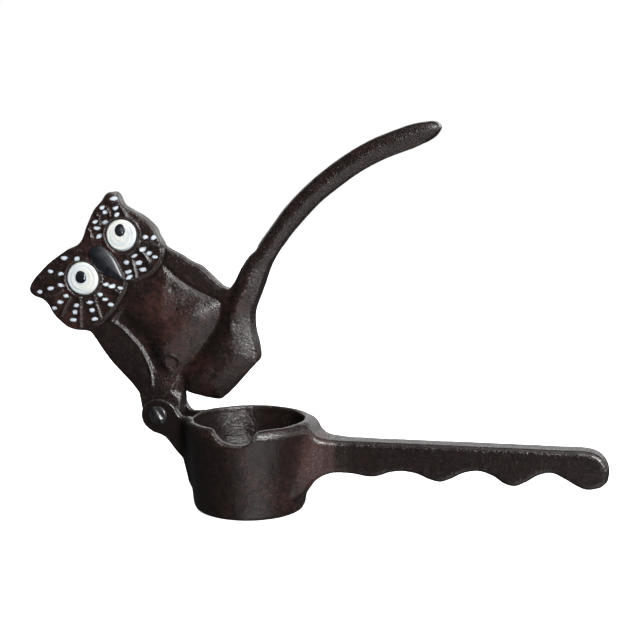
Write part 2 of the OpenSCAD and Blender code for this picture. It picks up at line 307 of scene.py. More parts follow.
def make_piece(name, points, faces, material, attributes=None):
    """A mesh piece from points in millimetres."""
    mesh = bpy.data.meshes.new(name)
    mesh.from_pydata((np.array(points) * MM).tolist(), [], [list(face) for face in faces])
    mesh.validate()
    mesh.shade_smooth()
    for key, values in (attributes or {}).items():
        kind = "FLOAT_VECTOR" if np.ndim(values) == 2 else "FLOAT"
        layer = mesh.attributes.new(key, kind, "POINT")
        layer.data.foreach_set("vector" if kind == "FLOAT_VECTOR" else "value",
                               np.array(values, np.float32).ravel())
    mesh.materials.append(material)
    piece = bpy.data.objects.new(name, mesh)
    bpy.context.scene.collection.objects.link(piece)
    return piece


def open_angle():
    """The angle between the closed drawing and the open pose."""
    return math.radians(bpy.context.scene.press_owl.open_angle_deg)


def opened(points):
    """What is drawn with the lever closed, turned to the open pose."""
    angle = open_angle()
    x, y, h = np.array(points, float).T
    x, h = x - PIVOT_X, h - PIVOT_H
    return np.stack([PIVOT_X + x * math.cos(angle) - h * math.sin(angle), y,
                     PIVOT_Z + x * math.sin(angle) + h * math.cos(angle)], axis=1)


# The cut lies a little off the middle plane, because points of the mesh lie in that plane
CUT_Y = 1.3e-5
SAME_POINT = 1e-6


def middle_outline(node):
    """The longest outline of a CAD node in its middle plane, drawn as it lies with the lever closed."""
    form = bmesh.new()
    form.from_mesh(frame["nodes"][node].data)
    bmesh.ops.remove_doubles(form, verts=form.verts, dist=SAME_POINT)
    geometry = form.verts[:] + form.edges[:] + form.faces[:]
    cut = bmesh.ops.bisect_plane(form, geom=geometry, plane_co=(0, CUT_Y, 0), plane_no=(0, 1, 0))
    links = {}
    for edge in cut["geom_cut"]:
        if isinstance(edge, bmesh.types.BMEdge):
            a, b = edge.verts
            links.setdefault(a, []).append(b)
            links.setdefault(b, []).append(a)
    loops = []
    left = set(links)
    while left:
        start = left.pop()
        loop = [start]
        here = start
        while True:
            ahead = [v for v in links[here] if v in left]
            if not ahead:
                break
            here = ahead[0]
            left.discard(here)
            loop.append(here)
        loops.append([(v.co.x / MM, v.co.z / MM) for v in loop])
    form.free()
    longest = max(loops, key=lambda loop: np.ptp(np.array(loop), axis=0).sum())
    x, z = np.array(longest).T
    angle = open_angle()
    x, z = x - PIVOT_X, z - PIVOT_Z
    return np.stack([PIVOT_X + x * math.cos(angle) + z * math.sin(angle),
                     PIVOT_H - x * math.sin(angle) + z * math.cos(angle)], axis=1)


# ---- The owl's relief ----

DISC_EDGE = [
    (18.2, 44.1), (14.4, 42.5), (12.4, 40.3), (8.4, 38.7), (4, 38.7), (-1.2, 40.7), (-4.2, 42.5),
    (-5.2, 43.9), (-6.2, 42.9), (-9, 41.8), (-13, 40.9), (-17.7, 40.4), (-23.2, 40.8), (-27.2, 42.1),
    (-31.8, 44.9),
]
DISC_TOP = [(-60, 60), (-60, 90), (60, 90), (60, 60)]
BREAST = [
    (-19.6, 37.6), (-19.5, 33.5), (-19.6, 28.6), (-20.2, 23.6), (-21.9, 18.6), (-23, 14), (-19, 9.4),
    (-13, 7.4), (-4, 7.2), (4, 8.2), (10.4, 10.2), (13.6, 13.4), (12, 18.2), (10.4, 24), (9.2, 30),
    (8.8, 35), (5, 37), (-1, 38.6), (-4.4, 40.6), (-8, 38.8), (-13, 38.2),
]
BREAST_RIDGE = [
    (-20, 38.4), (-19.4, 34.4), (-19.6, 29.1), (-20.2, 23.6), (-21.9, 18.8), (-24.2, 14.4), (-27.2, 10.8),
]
BREAST_RIDGE_END = [(-22.4, 17.2), (-24.4, 14), (-27, 10.9)]
COLLAR = [
    (-20, 38.4), (-15.7, 38.7), (-11, 39), (-7, 39.6), (-3.8, 40.4), (0.4, 38.3), (5, 36.6), (8, 36.2),
]
RIGHT_GROOVE = [(9.2, 36.8), (9.3, 31), (10.2, 25), (12, 18.6), (14.2, 12.4)]
LOW_VALLEY = [(14.6, 12), (10, 8.6), (4.4, 6.9), (-2, 5.9), (-9, 5.4), (-15.6, 5.6)]
DIMPLE = (-15.2, 11.1)
DIMPLE_R = 2.9
CHIPS = [
    (5, 31.6, 1.2), (4.5, 28.6, 1.6), (7.6, 27.8, 1.3), (6, 29.6, 1.1), (-1.3, 12.5, 0.9),
    (-19.6, 38.3, 1.1), (-17.9, 1.6, 1), (8.2, 36.4, 0.8), (13.8, 24.9, 0.8), (9.8, -8, 1.2),
    (6.6, -8.6, 1), (12.8, 2.4, 1.5), (-12.8, 62.9, 1.2), (-8.1, 64.1, 1), (2.2, 50.1, 1.1),
    (-1.4, 49.8, 1.3),
]
FEATHER_RIDGES = [
    [(10.1, 66.7), (9.8, 65.1), (8.8, 63.8)],
    [(5.8, 68.1), (5.2, 66), (3.6, 64.6)],
    [(-0.5, 66.8), (-1.3, 65.1), (-2.2, 63.8)],
    [(-25, 55.7), (-28.8, 54.8), (-32.4, 53.6)],
    [(-21.8, 52.8), (-26.2, 49.1), (-30.3, 45.6)],
    [(-17.7, 49.1), (-20.3, 45.4), (-22.3, 41.6)],
    [(2, 46.6), (0.5, 44.1), (-1.1, 42)],
    [(8.6, 49.8), (11.4, 46.5), (13.5, 43)],
    [(7.5, 47.8), (7.2, 44.9), (6.5, 41.9)],
    [(-11.7, 49.3), (-10.8, 45.9), (-10.2, 42.9)],
    [(-24.8, 59.5), (-28.4, 60.9), (-31.4, 63.5)],
    [(-21.6, 64.3), (-24.4, 66.9), (-27.4, 69.3)],
    [(13.2, 59.3), (14, 62.9)],
]
EYES = [(-15.9, 56.6, 6.1), (6.6, 56.1, 5.8)]
PUPILS = [(-15.6, 57.2, 2.2, 2.3), (8, 57.4, 2.0, 2.3)]
# Highlights painted on the pupils: x, h, half length, half width and tilt in degrees
GLINTS = [
    (-14.6, 55.9, 0.85, 0.34, 35), (-13.9, 56.5, 0.6, 0.26, 50), (8.1, 56.1, 0.5, 0.2, 20),
]
GLINT_COAT = 0.1
BEAK = [
    (-4.9, 44.6), (-7, 47.9), (-9, 52.1), (-9.3, 56.1), (-7.8, 60.1), (-5.2, 61.5), (-2.5, 60.1),
    (-1.2, 57.3), (-1.3, 53.5), (-2.5, 49.4),
]
BEAK_MIDDLE = (-4.9, 54.9)
BEAK_SPINE = [(-4.9, 45.1), (-5.3, 50.9), (-5.4, 55.9), (-5.2, 60)]
GRIP_MIDDLE = [
    (34, 13), (42, 13.6), (54, 14.6), (62, 14.4), (70, 13.8), (78, 12.7), (86.6, 10.8), (94.6, 8),
    (101.5, 5), (107.3, 2), (114, -2.4),
]

# The owl above the foot is a little larger than its plate, most of all towards its lower right
GROWN = 0.15
SIDE_STEP = (0.25, -0.28)
# Places where the casting is fuller than its plate: x, h, half width, half height and how much
FULLER = [
    (-27.8, 25.7, 5, 11, 0.5), (19, 27, 6, 8, 0.3), (26, 15, 4, 4, 0.3), (18.5, 48, 5, 5, 0.3),
    (17.7, 64, 3, 4, 0.35), (10.8, 71.4, 3.2, 3, -0.9), (101, -2.6, 9, 5, 0.5),
]
EDGE_FALL_WIDTH = 7.5
VALLEY_HALF = 3.3
FOOT_CROWN = 2.6
GRIP_CROWN = 1.4
LOW_SIDE = [(-24, 4), (-24, -20), (125, -20), (125, 40), (40, 40), (28, 18), (20, 15)]
FOOT_STREAK = [(14.6, 6.6), (12.2, 4.6), (10.6, 2.6)]
FOOT_STREAK_RISE = 0.35
DISC_RIM_RISE = 0.28
DISC_GROOVE = 0.4
BREAST_GROOVE = 0.85
DIMPLE_RING = 0.5
DIMPLE_DEPTH = 0.5
GRIP_ROUND_WIDTH = 4.6
EDGE_DROP = 0.3
EYE_DOME = 0.22
EYE_GROOVE = 0.22
EYE_RING = 0.5
FAN_RISE = 0.09
FAN_FOLDS = 12
FEATHER_HALF = 0.5
FEATHER_RISE = 0.62
CHIP_RISE = 0.35
CHIP_GRAIN = 0.8
BEAK_ROUND_WIDTH = 3.2
BEAK_GROOVE = 0.15
HINGE_FACE_R = 8.6

# Grey patches painted as highlights where the owl's slopes catch the light, laid on like rubbed iron: x, h,
# half width, half height and how much
RUBBED_AND_SHEEN_PATCHES = [
    (7.8, 15, 4, 5.5, 1.3), (0, 18, 6, 7, 0.2), (13.5, 1, 4, 4.5, 0.8), (6, -3, 5, 3.5, 0.65),
    (-3, -5.5, 6, 3, 0.5), (-24.7, 5.3, 2.4, 2, 0.9), (17, 45, 3.5, 3, 0.6), (-4.6, 41.6, 4, 1.6, 0.6),
]


# Beads of the body: the line, its half width and its rise; the last one is a groove
BODY_BEADS = [
    (BREAST_RIDGE, 0.5, 0.28),
    (BREAST_RIDGE_END, 0.55, 0.34),
    (COLLAR, 1.3, 0.35),
    (RIGHT_GROOVE, 0.8, -0.5),
]

# Lowest and highest corner of the owl's map
OWL_MAP = ((-39, -15.5), (117.5, 73.5))


class Owl:
    """The lever's outline and the height of its two faces above its middle plane."""

    def __init__(self, settings):
        self.settings = settings
        self.plate, self.tongue, self.foot_edge, self.grip_edge = (
            value / MM / 2 for value in (settings.plate_thickness, settings.tongue_thickness,
                                         settings.foot_thickness, settings.grip_thickness))
        self.face = settings.face_rise / MM
        self.flat = FlatMap(*OWL_MAP, settings.map_step / MM)
        self.x, self.h = x, h = self.flat.x, self.flat.h
        self.inside = self.flat.like(self.outline())
        self.edge_fall = 1 - np.clip(self.inside.values, 0, EDGE_FALL_WIDTH) / EDGE_FALL_WIDTH
        self.disc = self.area(np.vstack([smooth_path(DISC_EDGE), DISC_TOP]), 0.3)
        self.valley = self.area(np.vstack([smooth_path(LOW_VALLEY), LOW_SIDE]), 0.8)
        hinge = np.hypot(x - PIVOT_X, h - PIVOT_H)
        crisp = 1 - 0.65 * (1 - ease(hinge, 12, 20))
        self.low = ease(self.valley / crisp, -1.5, 1.5)
        self.grip = ease(x, 25, 37)
        self.grip_middle = np.interp(x, *np.array(GRIP_MIDDLE).T)
        self.upper = self.flat.like(self.grip * ease(h - self.grip_middle, -1.5, 2.5))

        height = self.plate + (self.tongue - self.plate) * (1 - ease(hinge, 9.5, 20))
        for form in (self.with_disc, self.with_breast, self.with_foot, self.with_dimple, self.with_grip,
                     self.with_eyes, self.with_feathers, self.with_chips, self.with_beak):
            height = form(height)
        near = 1 - ease(hinge, HINGE_FACE_R, 11)
        height = softened(height, 0.14, self.flat.step)
        self.height = self.flat.like(height * (1 - near) + self.tongue * near)
        rounding = 0.55 + 1.4 * self.upper.values + 0.5 * self.grip * ease(x, 104, 112)
        rounding -= 0.1 * ease(h, 38, 44)
        self.rounding = self.flat.like(rounding * (1 - near) + 0.4 * near)

    def area(self, path, rounding):
        """Distance to the inside of a closed path, with its corners rounded."""
        return softened(path_distance(path, self.x, self.h, closed=True), rounding, self.flat.step)

    def bead(self, points, width, rise, steps=6):
        """A rounded line along the points."""
        return rise * ridge(path_distance(smooth_path(points, steps), self.x, self.h), width)

    def outline(self):
        """Distance to the inside of the CAD's outline, made a little fuller."""
        x, h = self.x, self.h
        edge = path_distance(middle_outline("owl_lever_casting"), x, h, closed=True)
        fuller = np.maximum(ease(h, 10, 22), ease(x, 20, 30))
        beside = self.flat.like(edge).at(x - SIDE_STEP[0], h - SIDE_STEP[1])
        edge = edge + (GROWN + np.maximum(beside - edge, 0)) * fuller
        for *place, grown in FULLER:
            edge = edge + grown * patch(x, h, *place)
        return softened(edge, 0.45, self.flat.step)

    def with_disc(self, height):
        """The face stands proud of the plate; its edge has a raised rim and a groove under it."""
        height += self.face * ease(self.disc, -0.25, 0.75)
        height += DISC_RIM_RISE * ridge(self.disc - 0.75, 0.5)
        height -= DISC_GROOVE * ridge(self.disc + 0.55, 0.5) * (self.h > 30)
        return height

    def with_breast(self, height):
        """The domed breast, the ridge and the groove on its sides and the collar above it."""
        breast = self.area(smooth_path(BREAST, closed=True), 0.5)
        body = 1 - ease(self.disc, -0.6, 0)
        from_ridge = path_distance(smooth_path(BREAST_RIDGE), self.x, self.h)
        swell = 1 - (1 - np.clip(breast / (10.5 + 10 * ease(self.h, 16, 26)), 0, 1)) ** 1.5
        crown = 0.05 * ease(breast, -0.5, 0.6) + 0.95 * swell
        high = 1 - self.low
        height += body * (self.settings.breast_rise / MM) * crown * ease(from_ridge, 0.6, 9) * high
        height -= BREAST_GROOVE * body * ease(breast, -0.1, 0.8) * (1 - ease(from_ridge, 2, 8)) * high
        for line, wide, rise in BODY_BEADS:
            height += body * self.bead(line, wide, rise)
        return height

    def with_foot(self, height):
        """The pressing foot, crowned between its edges, and the valley above it."""
        foot = VALLEY_HALF + (self.foot_edge + FOOT_CROWN - VALLEY_HALF) * ease(self.valley, -1, 6.5)
        foot -= FOOT_CROWN * self.edge_fall ** 1.5
        height = height * (1 - self.low) + np.maximum(foot, VALLEY_HALF - 0.2) * self.low
        return height + self.bead(FOOT_STREAK, 0.8, FOOT_STREAK_RISE)

    def with_dimple(self, height):
        """The round dimple low on the body, whose ring is highest on its right."""
        across, down = self.x - DIMPLE[0], DIMPLE[1] - self.h
        away = np.hypot(across, down * 1.05)
        facing = ease(across + 0.4 * down, -1, 2)
        ring = DIMPLE_RING * ridge(away - DIMPLE_R, 0.45) * (0.25 + 0.75 * facing)
        height += ring - DIMPLE_DEPTH * (1 - ease(away, 1.2, DIMPLE_R))
        return height

    def with_grip(self, height):
        """The rounded bar of the grip, thinner towards its lower edge, and the thinned edge of the plate."""
        grip = self.grip
        narrow = 1 - np.clip(self.inside.values, 0, GRIP_ROUND_WIDTH) / GRIP_ROUND_WIDTH
        bar = self.grip_edge + GRIP_CROWN * (1 - narrow ** 2)
        below = np.clip(self.grip_middle - 0.8 - self.h, 0, 4)
        bar += (0.4 - 0.24 * below) * ease(self.x, 40, 55)
        height = height * (1 - grip) + bar * grip
        height -= EDGE_DROP * (1 - grip) * (1 - self.low) * self.edge_fall ** 4
        return height

    def with_eyes(self, height):
        """The eyes with the groove and the ring round them, and the folds that fan out from them."""
        x, h = self.x, self.h
        for cx, ch, r in EYES:
            away = np.hypot(x - cx, h - ch)
            height += self.settings.eye_rise / MM * (1 - ease(away, r - 0.55, r - 0.05))
            height += EYE_DOME * np.clip(1 - (away / r) ** 2, 0, 1)
            height -= EYE_GROOVE * ridge(away - r - 0.15, 0.3)
            height += EYE_RING * ridge(away - r - 1.1, 0.55)
            turn = np.arctan2(h - ch, x - cx)
            fan = ease(away, r + 1.2, r + 2.4) * (1 - ease(away, r + 9, r + 13)) * ease(self.disc, 0.4, 1.6)
            height += FAN_RISE * fan * np.cos(turn * FAN_FOLDS + 0.6)
        return height

    def with_feathers(self, height):
        """The short ridges of the face's feathers."""
        for points in FEATHER_RIDGES:
            height += self.bead(points, FEATHER_HALF, FEATHER_RISE, 3) * ease(self.disc, 0.2, 1)
        return height

    def with_chips(self, height):
        """Rough spots where the casting is chipped."""
        x, h = self.x, self.h
        spots = np.stack([x.ravel(), h.ravel(), 0 * x.ravel()], axis=1)
        for cx, ch, r in CHIPS:
            broken = lumps(spots, CHIP_GRAIN, int(10 * r) + 5).reshape(x.shape)
            height += CHIP_RISE * broken * (1 - ease(np.hypot(x - cx, h - ch), 0.4 * r, 1.3 * r))
        return height

    def with_beak(self, height):
        """The beak, highest along its spine, with a groove round it."""
        beak = self.area(smooth_path(BEAK, closed=True), 0.25)
        spine = path_distance(smooth_path(BEAK_SPINE), self.x, self.h)
        crown = np.sqrt(np.clip(beak, 0, BEAK_ROUND_WIDTH) / BEAK_ROUND_WIDTH)
        crown *= 1 - 0.12 * np.clip(spine, 0, 4) / 4
        top = self.plate + self.face + self.settings.beak_rise / MM * crown
        height = np.where(beak > 0, np.maximum(height, top), height)
        height -= BEAK_GROOVE * ridge(beak + 0.25, 0.35)
        return height

    def face_y(self, x, h):
        """Height of the owl's face above its middle plane."""
        return self.height.at(np.asarray(x, float), np.asarray(h, float))


# ---- Materials ----


class Wire:
    """A socket of a material that takes part in Python's arithmetic."""

    def __init__(self, paint, socket):
        self.paint = paint
        self.socket = socket

    def maths(self, operation, first, second):
        return self.paint.add("ShaderNodeMath", {0: first, 1: second}, operation=operation)

    def __add__(self, other):
        return self.maths("ADD", self, other)

    def __radd__(self, other):
        return self.maths("ADD", other, self)

    def __sub__(self, other):
        return self.maths("SUBTRACT", self, other)

    def __rsub__(self, other):
        return self.maths("SUBTRACT", other, self)

    def __mul__(self, other):
        return self.maths("MULTIPLY", self, other)

    def __rmul__(self, other):
        return self.maths("MULTIPLY", other, self)


class Paint:
    """One procedural material."""

    def __init__(self, name, store=None):
        self.owner = (bpy.data.materials if store is None else store).new(name)
        self.owner.use_nodes = True
        self.tree = self.owner.node_tree
        self.tree.nodes.clear()
        self.spot = self.add("ShaderNodeTexCoord", out="Object")

    def add(self, kind, sockets=None, out=0, **settings):
        """Adds a node: its settings first, then the values or the links of its sockets."""
        made = self.tree.nodes.new(kind)
        for key, value in settings.items():
            setattr(made, key, value)
        for key, value in (sockets or {}).items():
            if isinstance(value, Wire):
                self.tree.links.new(value.socket, made.inputs[key])
            else:
                made.inputs[key].default_value = value
        return Wire(self, made.outputs[out]) if len(made.outputs) else None

    def noise(self, size_mm, detail, roughness=0.55, spot=None):
        """Clouds whose marks are about one size apart."""
        return self.add("ShaderNodeTexNoise", {
            "Vector": spot or self.spot, "Scale": 1 / (size_mm * MM), "Detail": detail,
            "Roughness": roughness})

    def dimples(self, size_mm):
        """Rounded cells."""
        return self.add("ShaderNodeTexVoronoi", {
            "Vector": self.spot, "Scale": 1 / (size_mm * MM), "Smoothness": 0.6},
            feature="SMOOTH_F1")

    def band(self, value, start, end):
        """0 below start and 1 above end."""
        return self.add("ShaderNodeMapRange", {"Value": value, "From Min": start, "From Max": end},
                        interpolation_type="SMOOTHSTEP")

    def mix(self, share, first, second):
        """The first colour at 0 and the second at 1."""
        first, second = [c if isinstance(c, Wire) else (*c, 1) for c in (first, second)]
        return self.add("ShaderNodeMix", {0: share, 6: first, 7: second}, out=2, data_type="RGBA")

    def kept(self, name, out="Fac"):
        """Values that the mesh carries."""
        return self.add("ShaderNodeAttribute", out=out, attribute_name=name)

    def bump(self, height, distance_mm, strength):
        """Relief of the surface."""
        return self.add("ShaderNodeBump", {
            "Height": height, "Distance": distance_mm * MM, "Strength": strength})

    def finish(self, **sockets):
        """The surface, with its sockets given by name."""
        shader = self.add("ShaderNodeBsdfPrincipled",
                          {key.replace("_", " "): value for key, value in sockets.items()})
        self.add("ShaderNodeOutputMaterial", {"Surface": shader})
        return self.owner


def iron_coat(settings):
    """Brown-black lacquer over pebbly cast iron, reddish where thin and grey where worn; grey patches
    painted as highlights where the owl catches the light, and the owl's side walls darkened as painted
    shade.
    """
    paint = Paint("lacquered_cast_iron")
    wear, warm, rub_and_sheen, lug = (paint.kept(name) for name in ("wear", "warm", "rub_and_sheen", "lug"))
    patches = paint.band(paint.noise(16, 4) + warm * 0.35, 0.47, 0.72)
    mottle = paint.noise(2.4, 5, 0.68)
    level = paint.add("ShaderNodeVectorMath", {0: paint.spot, 1: (0.45, 0.6, 1.7)}, operation="MULTIPLY")
    streaks = paint.noise(1.5, 4, 0.7, level)
    grain = paint.noise(0.42, 2, 0.6)
    tone = mottle * 0.55 + streaks * 0.45 + warm * 0.16
    coat = paint.mix(paint.band(tone, 0.4, 0.66), settings.iron_dark, settings.iron_brown)
    red = patches * paint.band(tone + (grain - 0.5) * 0.35, 0.44, 0.62)
    coat = paint.mix(red * 0.9, coat, settings.iron_red)
    # Grey on worn proud edges, and painted highlight grey on the sheen patches
    edge = paint.band(wear * 0.7 + rub_and_sheen + (mottle - 0.5) * 0.8 + (grain - 0.5) * 0.9, 0.7, 1.6)
    coat = paint.mix(edge * 0.55, coat, settings.iron_worn_and_sheen)
    # Pale specks on worn edges and lighter tones, and painted sparkle on the highlight patches
    specks_and_sparkle = paint.band(grain, 0.62, 0.7) * paint.band(wear * 0.6 + rub_and_sheen * 0.6 + tone, 0.55, 1.0)
    coat = paint.mix(specks_and_sparkle * 0.55, coat, settings.iron_speck)
    gloss = 0.25 + (mottle - 0.5) * 0.2 + patches * 0.06 + edge * 0.04
    # Darker and glossier: the cup's black lug and darker iron, and painted shade on the owl's side walls
    coat = paint.mix(lug * 0.6, coat, settings.iron_dark)
    relief = grain * 0.45 + paint.noise(0.6, 1.5, 0.5) * 0.55 + paint.dimples(1.7) * 0.1
    normal = paint.bump(relief * (1 - lug * 0.5), 0.35, 1.0)
    return paint.finish(Base_Color=coat, Roughness=gloss - lug * 0.06, Normal=normal, Specular_IOR_Level=0.6)


def rivet_finish(settings):
    """Blackened steel with a rubbed, glossy dome."""
    paint = Paint("blackened_rivet_steel")
    smear = paint.noise(1.6, 4, 0.6)
    fine = paint.noise(0.5, 3, 0.6)
    rubbed = paint.band(paint.kept("wear") + (smear - 0.5) * 0.8, 0.45, 1.1)
    tone = paint.mix(smear, settings.rivet_dark, settings.rivet_blue)
    tone = paint.mix(rubbed * 0.5, tone, settings.iron_worn_and_sheen)
    normal = paint.bump(smear * 0.7 + fine * 0.3, 0.16, 0.7)
    return paint.finish(Base_Color=tone, Roughness=0.22 + (smear - 0.5) * 0.16, Metallic=rubbed * 0.35,
                        Normal=normal)


def white_enamel(settings):
    """Thick white enamel, brushed round and round, with a faint blue and cream cast."""
    paint = Paint("brushed_white_enamel")
    stroke = paint.kept("stroke", "Vector")
    lines = paint.noise(1.9 / MM, 3, 0.6, stroke)
    broad = paint.noise(5.5 / MM, 2, 0.5, stroke)
    fine = paint.noise(0.6, 2)
    tone = paint.mix(paint.band(broad, 0.38, 0.62), settings.white_cream, settings.white_blue)
    tone = paint.mix(paint.band(lines, 0.55, 0.74) * 0.75, tone, settings.white_thin)
    normal = paint.bump(lines * 0.8 + broad * 0.4 + fine * 0.1, 0.28, 0.7)
    return paint.finish(Base_Color=tone, Roughness=0.3 + (lines - 0.5) * 0.2, Normal=normal,
                        Coat_Weight=0.25)


def dot_enamel(settings):
    """White enamel drops, thin and bluish at their edges."""
    paint = Paint("dotted_white_enamel")
    smear = paint.noise(0.9, 3, 0.6)
    thin = paint.kept("thin")
    share = paint.band(thin + (smear - 0.5) * 1.6, 0.35, 1.1)
    tone = paint.mix(share, settings.dot_white, settings.dot_thin)
    return paint.finish(Base_Color=tone, Roughness=0.34 + (smear - 0.5) * 0.2,
                        Normal=paint.bump(smear, 0.12, 0.6))


def black_enamel(settings, name, roughness):
    """Glossy black enamel, faintly blue, with brush marks and a painted grey highlight."""
    paint = Paint(name)
    smear = paint.noise(2.6, 4, 0.6)
    fine = paint.noise(0.8, 3, 0.6)
    painted_sheen = paint.kept("painted_sheen")
    tone = paint.mix(paint.band(smear, 0.35, 0.7), settings.black_deep, settings.black_blue)
    # Painted highlight where the mesh carries its sheen
    tone = paint.mix(painted_sheen * paint.band(fine + painted_sheen * 0.3, 0.4, 0.8), tone, settings.black_painted_sheen)
    normal = paint.bump(smear * 0.6 + fine * 0.4, 0.16, 0.55)
    return paint.finish(Base_Color=tone, Roughness=roughness + (smear - 0.5) * 0.14, Normal=normal,
                        Coat_Weight=0.3)


def glint_enamel(settings):
    """Painted highlights: the small light touches on the pupils."""
    paint = Paint("pale_blue_glint_enamel")
    smear = paint.noise(0.7, 3, 0.6)
    thin = paint.kept("thin")
    share = paint.band(thin + (smear - 0.5) * 1.4, 0.3, 1.0)
    tone = paint.mix(share, settings.glint_light, settings.glint_dark)
    return paint.finish(Base_Color=tone, Roughness=0.3 + (smear - 0.5) * 0.1,
                        Normal=paint.bump(smear, 0.1, 0.5))


# ---- Settings that a user would change ----


def length(name, description, millimetres, least=0.1, most=200.0):
    """A length that is given here in millimetres."""
    return FloatProperty(name=name, description=description, default=millimetres * MM, min=least * MM,
                         max=most * MM, unit="LENGTH", subtype="DISTANCE", precision=5)


def amount(name, description, value, most, least=0.0):
    """A plain number: a strength, watts, degrees or the lens's millimetres."""
    return FloatProperty(name=name, description=description, default=value, min=least, max=most)


def colour(name, description, value):
    """A colour, as Blender counts it."""
    return FloatVectorProperty(name=name, description=description, default=value, min=0.0, max=1.0,
                               size=3, subtype="COLOR")


class PressCastingSettings(bpy.types.PropertyGroup):
    """Sizes and colours of the cup's casting and of the iron."""

    surface_step: length("Surface step", "Spacing of the castings' mesh", 0.4, 0.3, 2)
    cup_rim_r: length("Rim radius", "Outer radius of the cup at its rim", 24.8)
    cup_foot_r: length("Foot radius", "Outer radius of the cup on the table", 20.8)
    cup_wall: length("Wall", "Thickness of the cup's wall at the rim", 4.5)
    cup_floor: length("Floor", "Thickness of the cup's floor", 6)
    bowl_draft: length("Bowl draft", "How much the bowl narrows towards its floor", 2.5)
    handle_width: length("Handle width", "Width of the handle", 9.2)
    fillet: length("Fillet", "Radius of the fillets where the forms of the casting meet", 3.4)
    iron_dark: colour("Iron, dark", "Darkest tone of the lacquer", (0.0075, 0.0047, 0.0044))
    iron_brown: colour("Iron, brown", "Lighter, brown tone of the lacquer", (0.0195, 0.0104, 0.0090))
    iron_red: colour("Iron, red", "Where the lacquer is thin and reddish", (0.041, 0.0155, 0.0125))
    # Grey of the worn edges and of the painted highlight patches
    iron_worn_and_sheen: colour("Iron, worn", "Worn grey edges", (0.07, 0.065, 0.064))
    iron_speck: colour("Iron, specks", "Small pale specks", (0.13, 0.11, 0.105))
    rivet_dark: colour("Rivet, dark", "Blackened steel", (0.008, 0.0078, 0.0082))
    rivet_blue: colour("Rivet, blue", "Bluish tone of the blackened steel", (0.016, 0.0165, 0.0185))


class PressOwlSettings(bpy.types.PropertyGroup):
    """Sizes of the owl and of its enamel."""

    open_angle_deg: amount("Open angle", "Degrees from the closed to the open lever", 48.0, 60)
    map_step: length("Map step", "Spacing of the relief's height map", 0.25, 0.1, 1)
    plate_thickness: length("Plate", "Thickness of the owl's plate", 5.2)
    tongue_thickness: length("Tongue", "Thickness of the tongue that runs on the rivet", 8.8)
    foot_thickness: length("Foot", "Thickness of the pressing foot at its edges", 8.4)
    grip_thickness: length("Grip", "Thickness of the lever's grip at its edges", 6.8)
    face_rise: length("Face rise", "How far the face stands proud of the plate", 0.45)
    breast_rise: length("Breast rise", "How far the breast stands proud of the plate", 4.2)
    eye_rise: length("Eye rise", "How far the eyes stand proud of the face", 0.6)
    beak_rise: length("Beak rise", "How far the beak stands proud of the face", 1.5)
    coat: length("Enamel", "Thickness of the enamel coats", 0.3, 0.05, 1)
    white_cream: colour("White, cream", "Warm tone of the white enamel", (0.68, 0.685, 0.635))
    white_blue: colour("White, blue", "Cool tone of the white enamel", (0.56, 0.61, 0.64))
    white_thin: colour("White, thin", "Thin strokes of the white enamel", (0.38, 0.43, 0.46))
    dot_white: colour("Dots, white", "Middle of the enamel dots", (0.56, 0.61, 0.68))
    dot_thin: colour("Dots, edge", "Thin edge of the enamel dots", (0.2, 0.23, 0.26))
    black_deep: colour("Black, deep", "Deep black enamel", (0.006, 0.0065, 0.009))
    black_blue: colour("Black, blue", "Bluish tone of the black enamel", (0.014, 0.016, 0.022))
    # Grey of the highlight painted on the pupils and the beak
    black_painted_sheen: colour("Black, sheen", "Dusty grey on the black enamel", (0.1, 0.105, 0.12))
    glint_light: colour("Glint, light", "Middle of the glints", (0.5, 0.55, 0.62))
    glint_dark: colour("Glint, edge", "Edge of the glints", (0.05, 0.055, 0.07))


class PressStageSettings(bpy.types.PropertyGroup):
    """The camera, the lights and the floor."""

    azimuth_deg: amount("Azimuth", "Degrees the camera stands to the right", 12.5, 180, -180)
    pitch_deg: amount("Pitch", "Degrees the camera looks down", 9.9, 89, -10)
    distance: length("Distance", "Level distance from the camera to the cup", 500, 100, 3000)
    camera_height: length("Camera height", "Height of the camera above the table", 157, 10, 1000)
    slide: length("Slide", "How far the camera is moved to its right", 26, -200, 200)
    focal_mm: amount("Lens", "Focal length in millimetres", 78.75, 200, 10)
    floor_colour: colour("Floor", "Pale floor and backdrop", (0.86, 0.86, 0.86))
    floor_glow: amount("Floor glow", "How much the lit floor shines of itself", 1.12, 3)
    surround: amount("Surround", "Brightness of the studio's surround", 0.05, 5)
    backdrop_glow: amount("Backdrop glow", "Brightness of the backdrop in reflections", 1.5, 5)
    card_glow: amount("Card glow", "Brightness of the card at the front right", 0.2, 20)
    sheet_glow: amount("Sheet glow", "Brightness of the sheet low at the front right", 1.8, 20)
    key_watts: amount("Key", "Power of the window-sized key light", 19.0, 500)
    top_watts: amount("Top", "Power of the large light overhead", 7.0, 900)
    fill_watts: amount("Back fill", "Power of the soft fill behind the press", 16.0, 500)
    strip_watts: amount("Strip", "Power of the low strip light at the right", 1.2, 500)
    floor_radius: length("Floor radius", "Radius of the flat floor", 800, 300, 9000)


# ---- The cup, its lugs and its handle ----


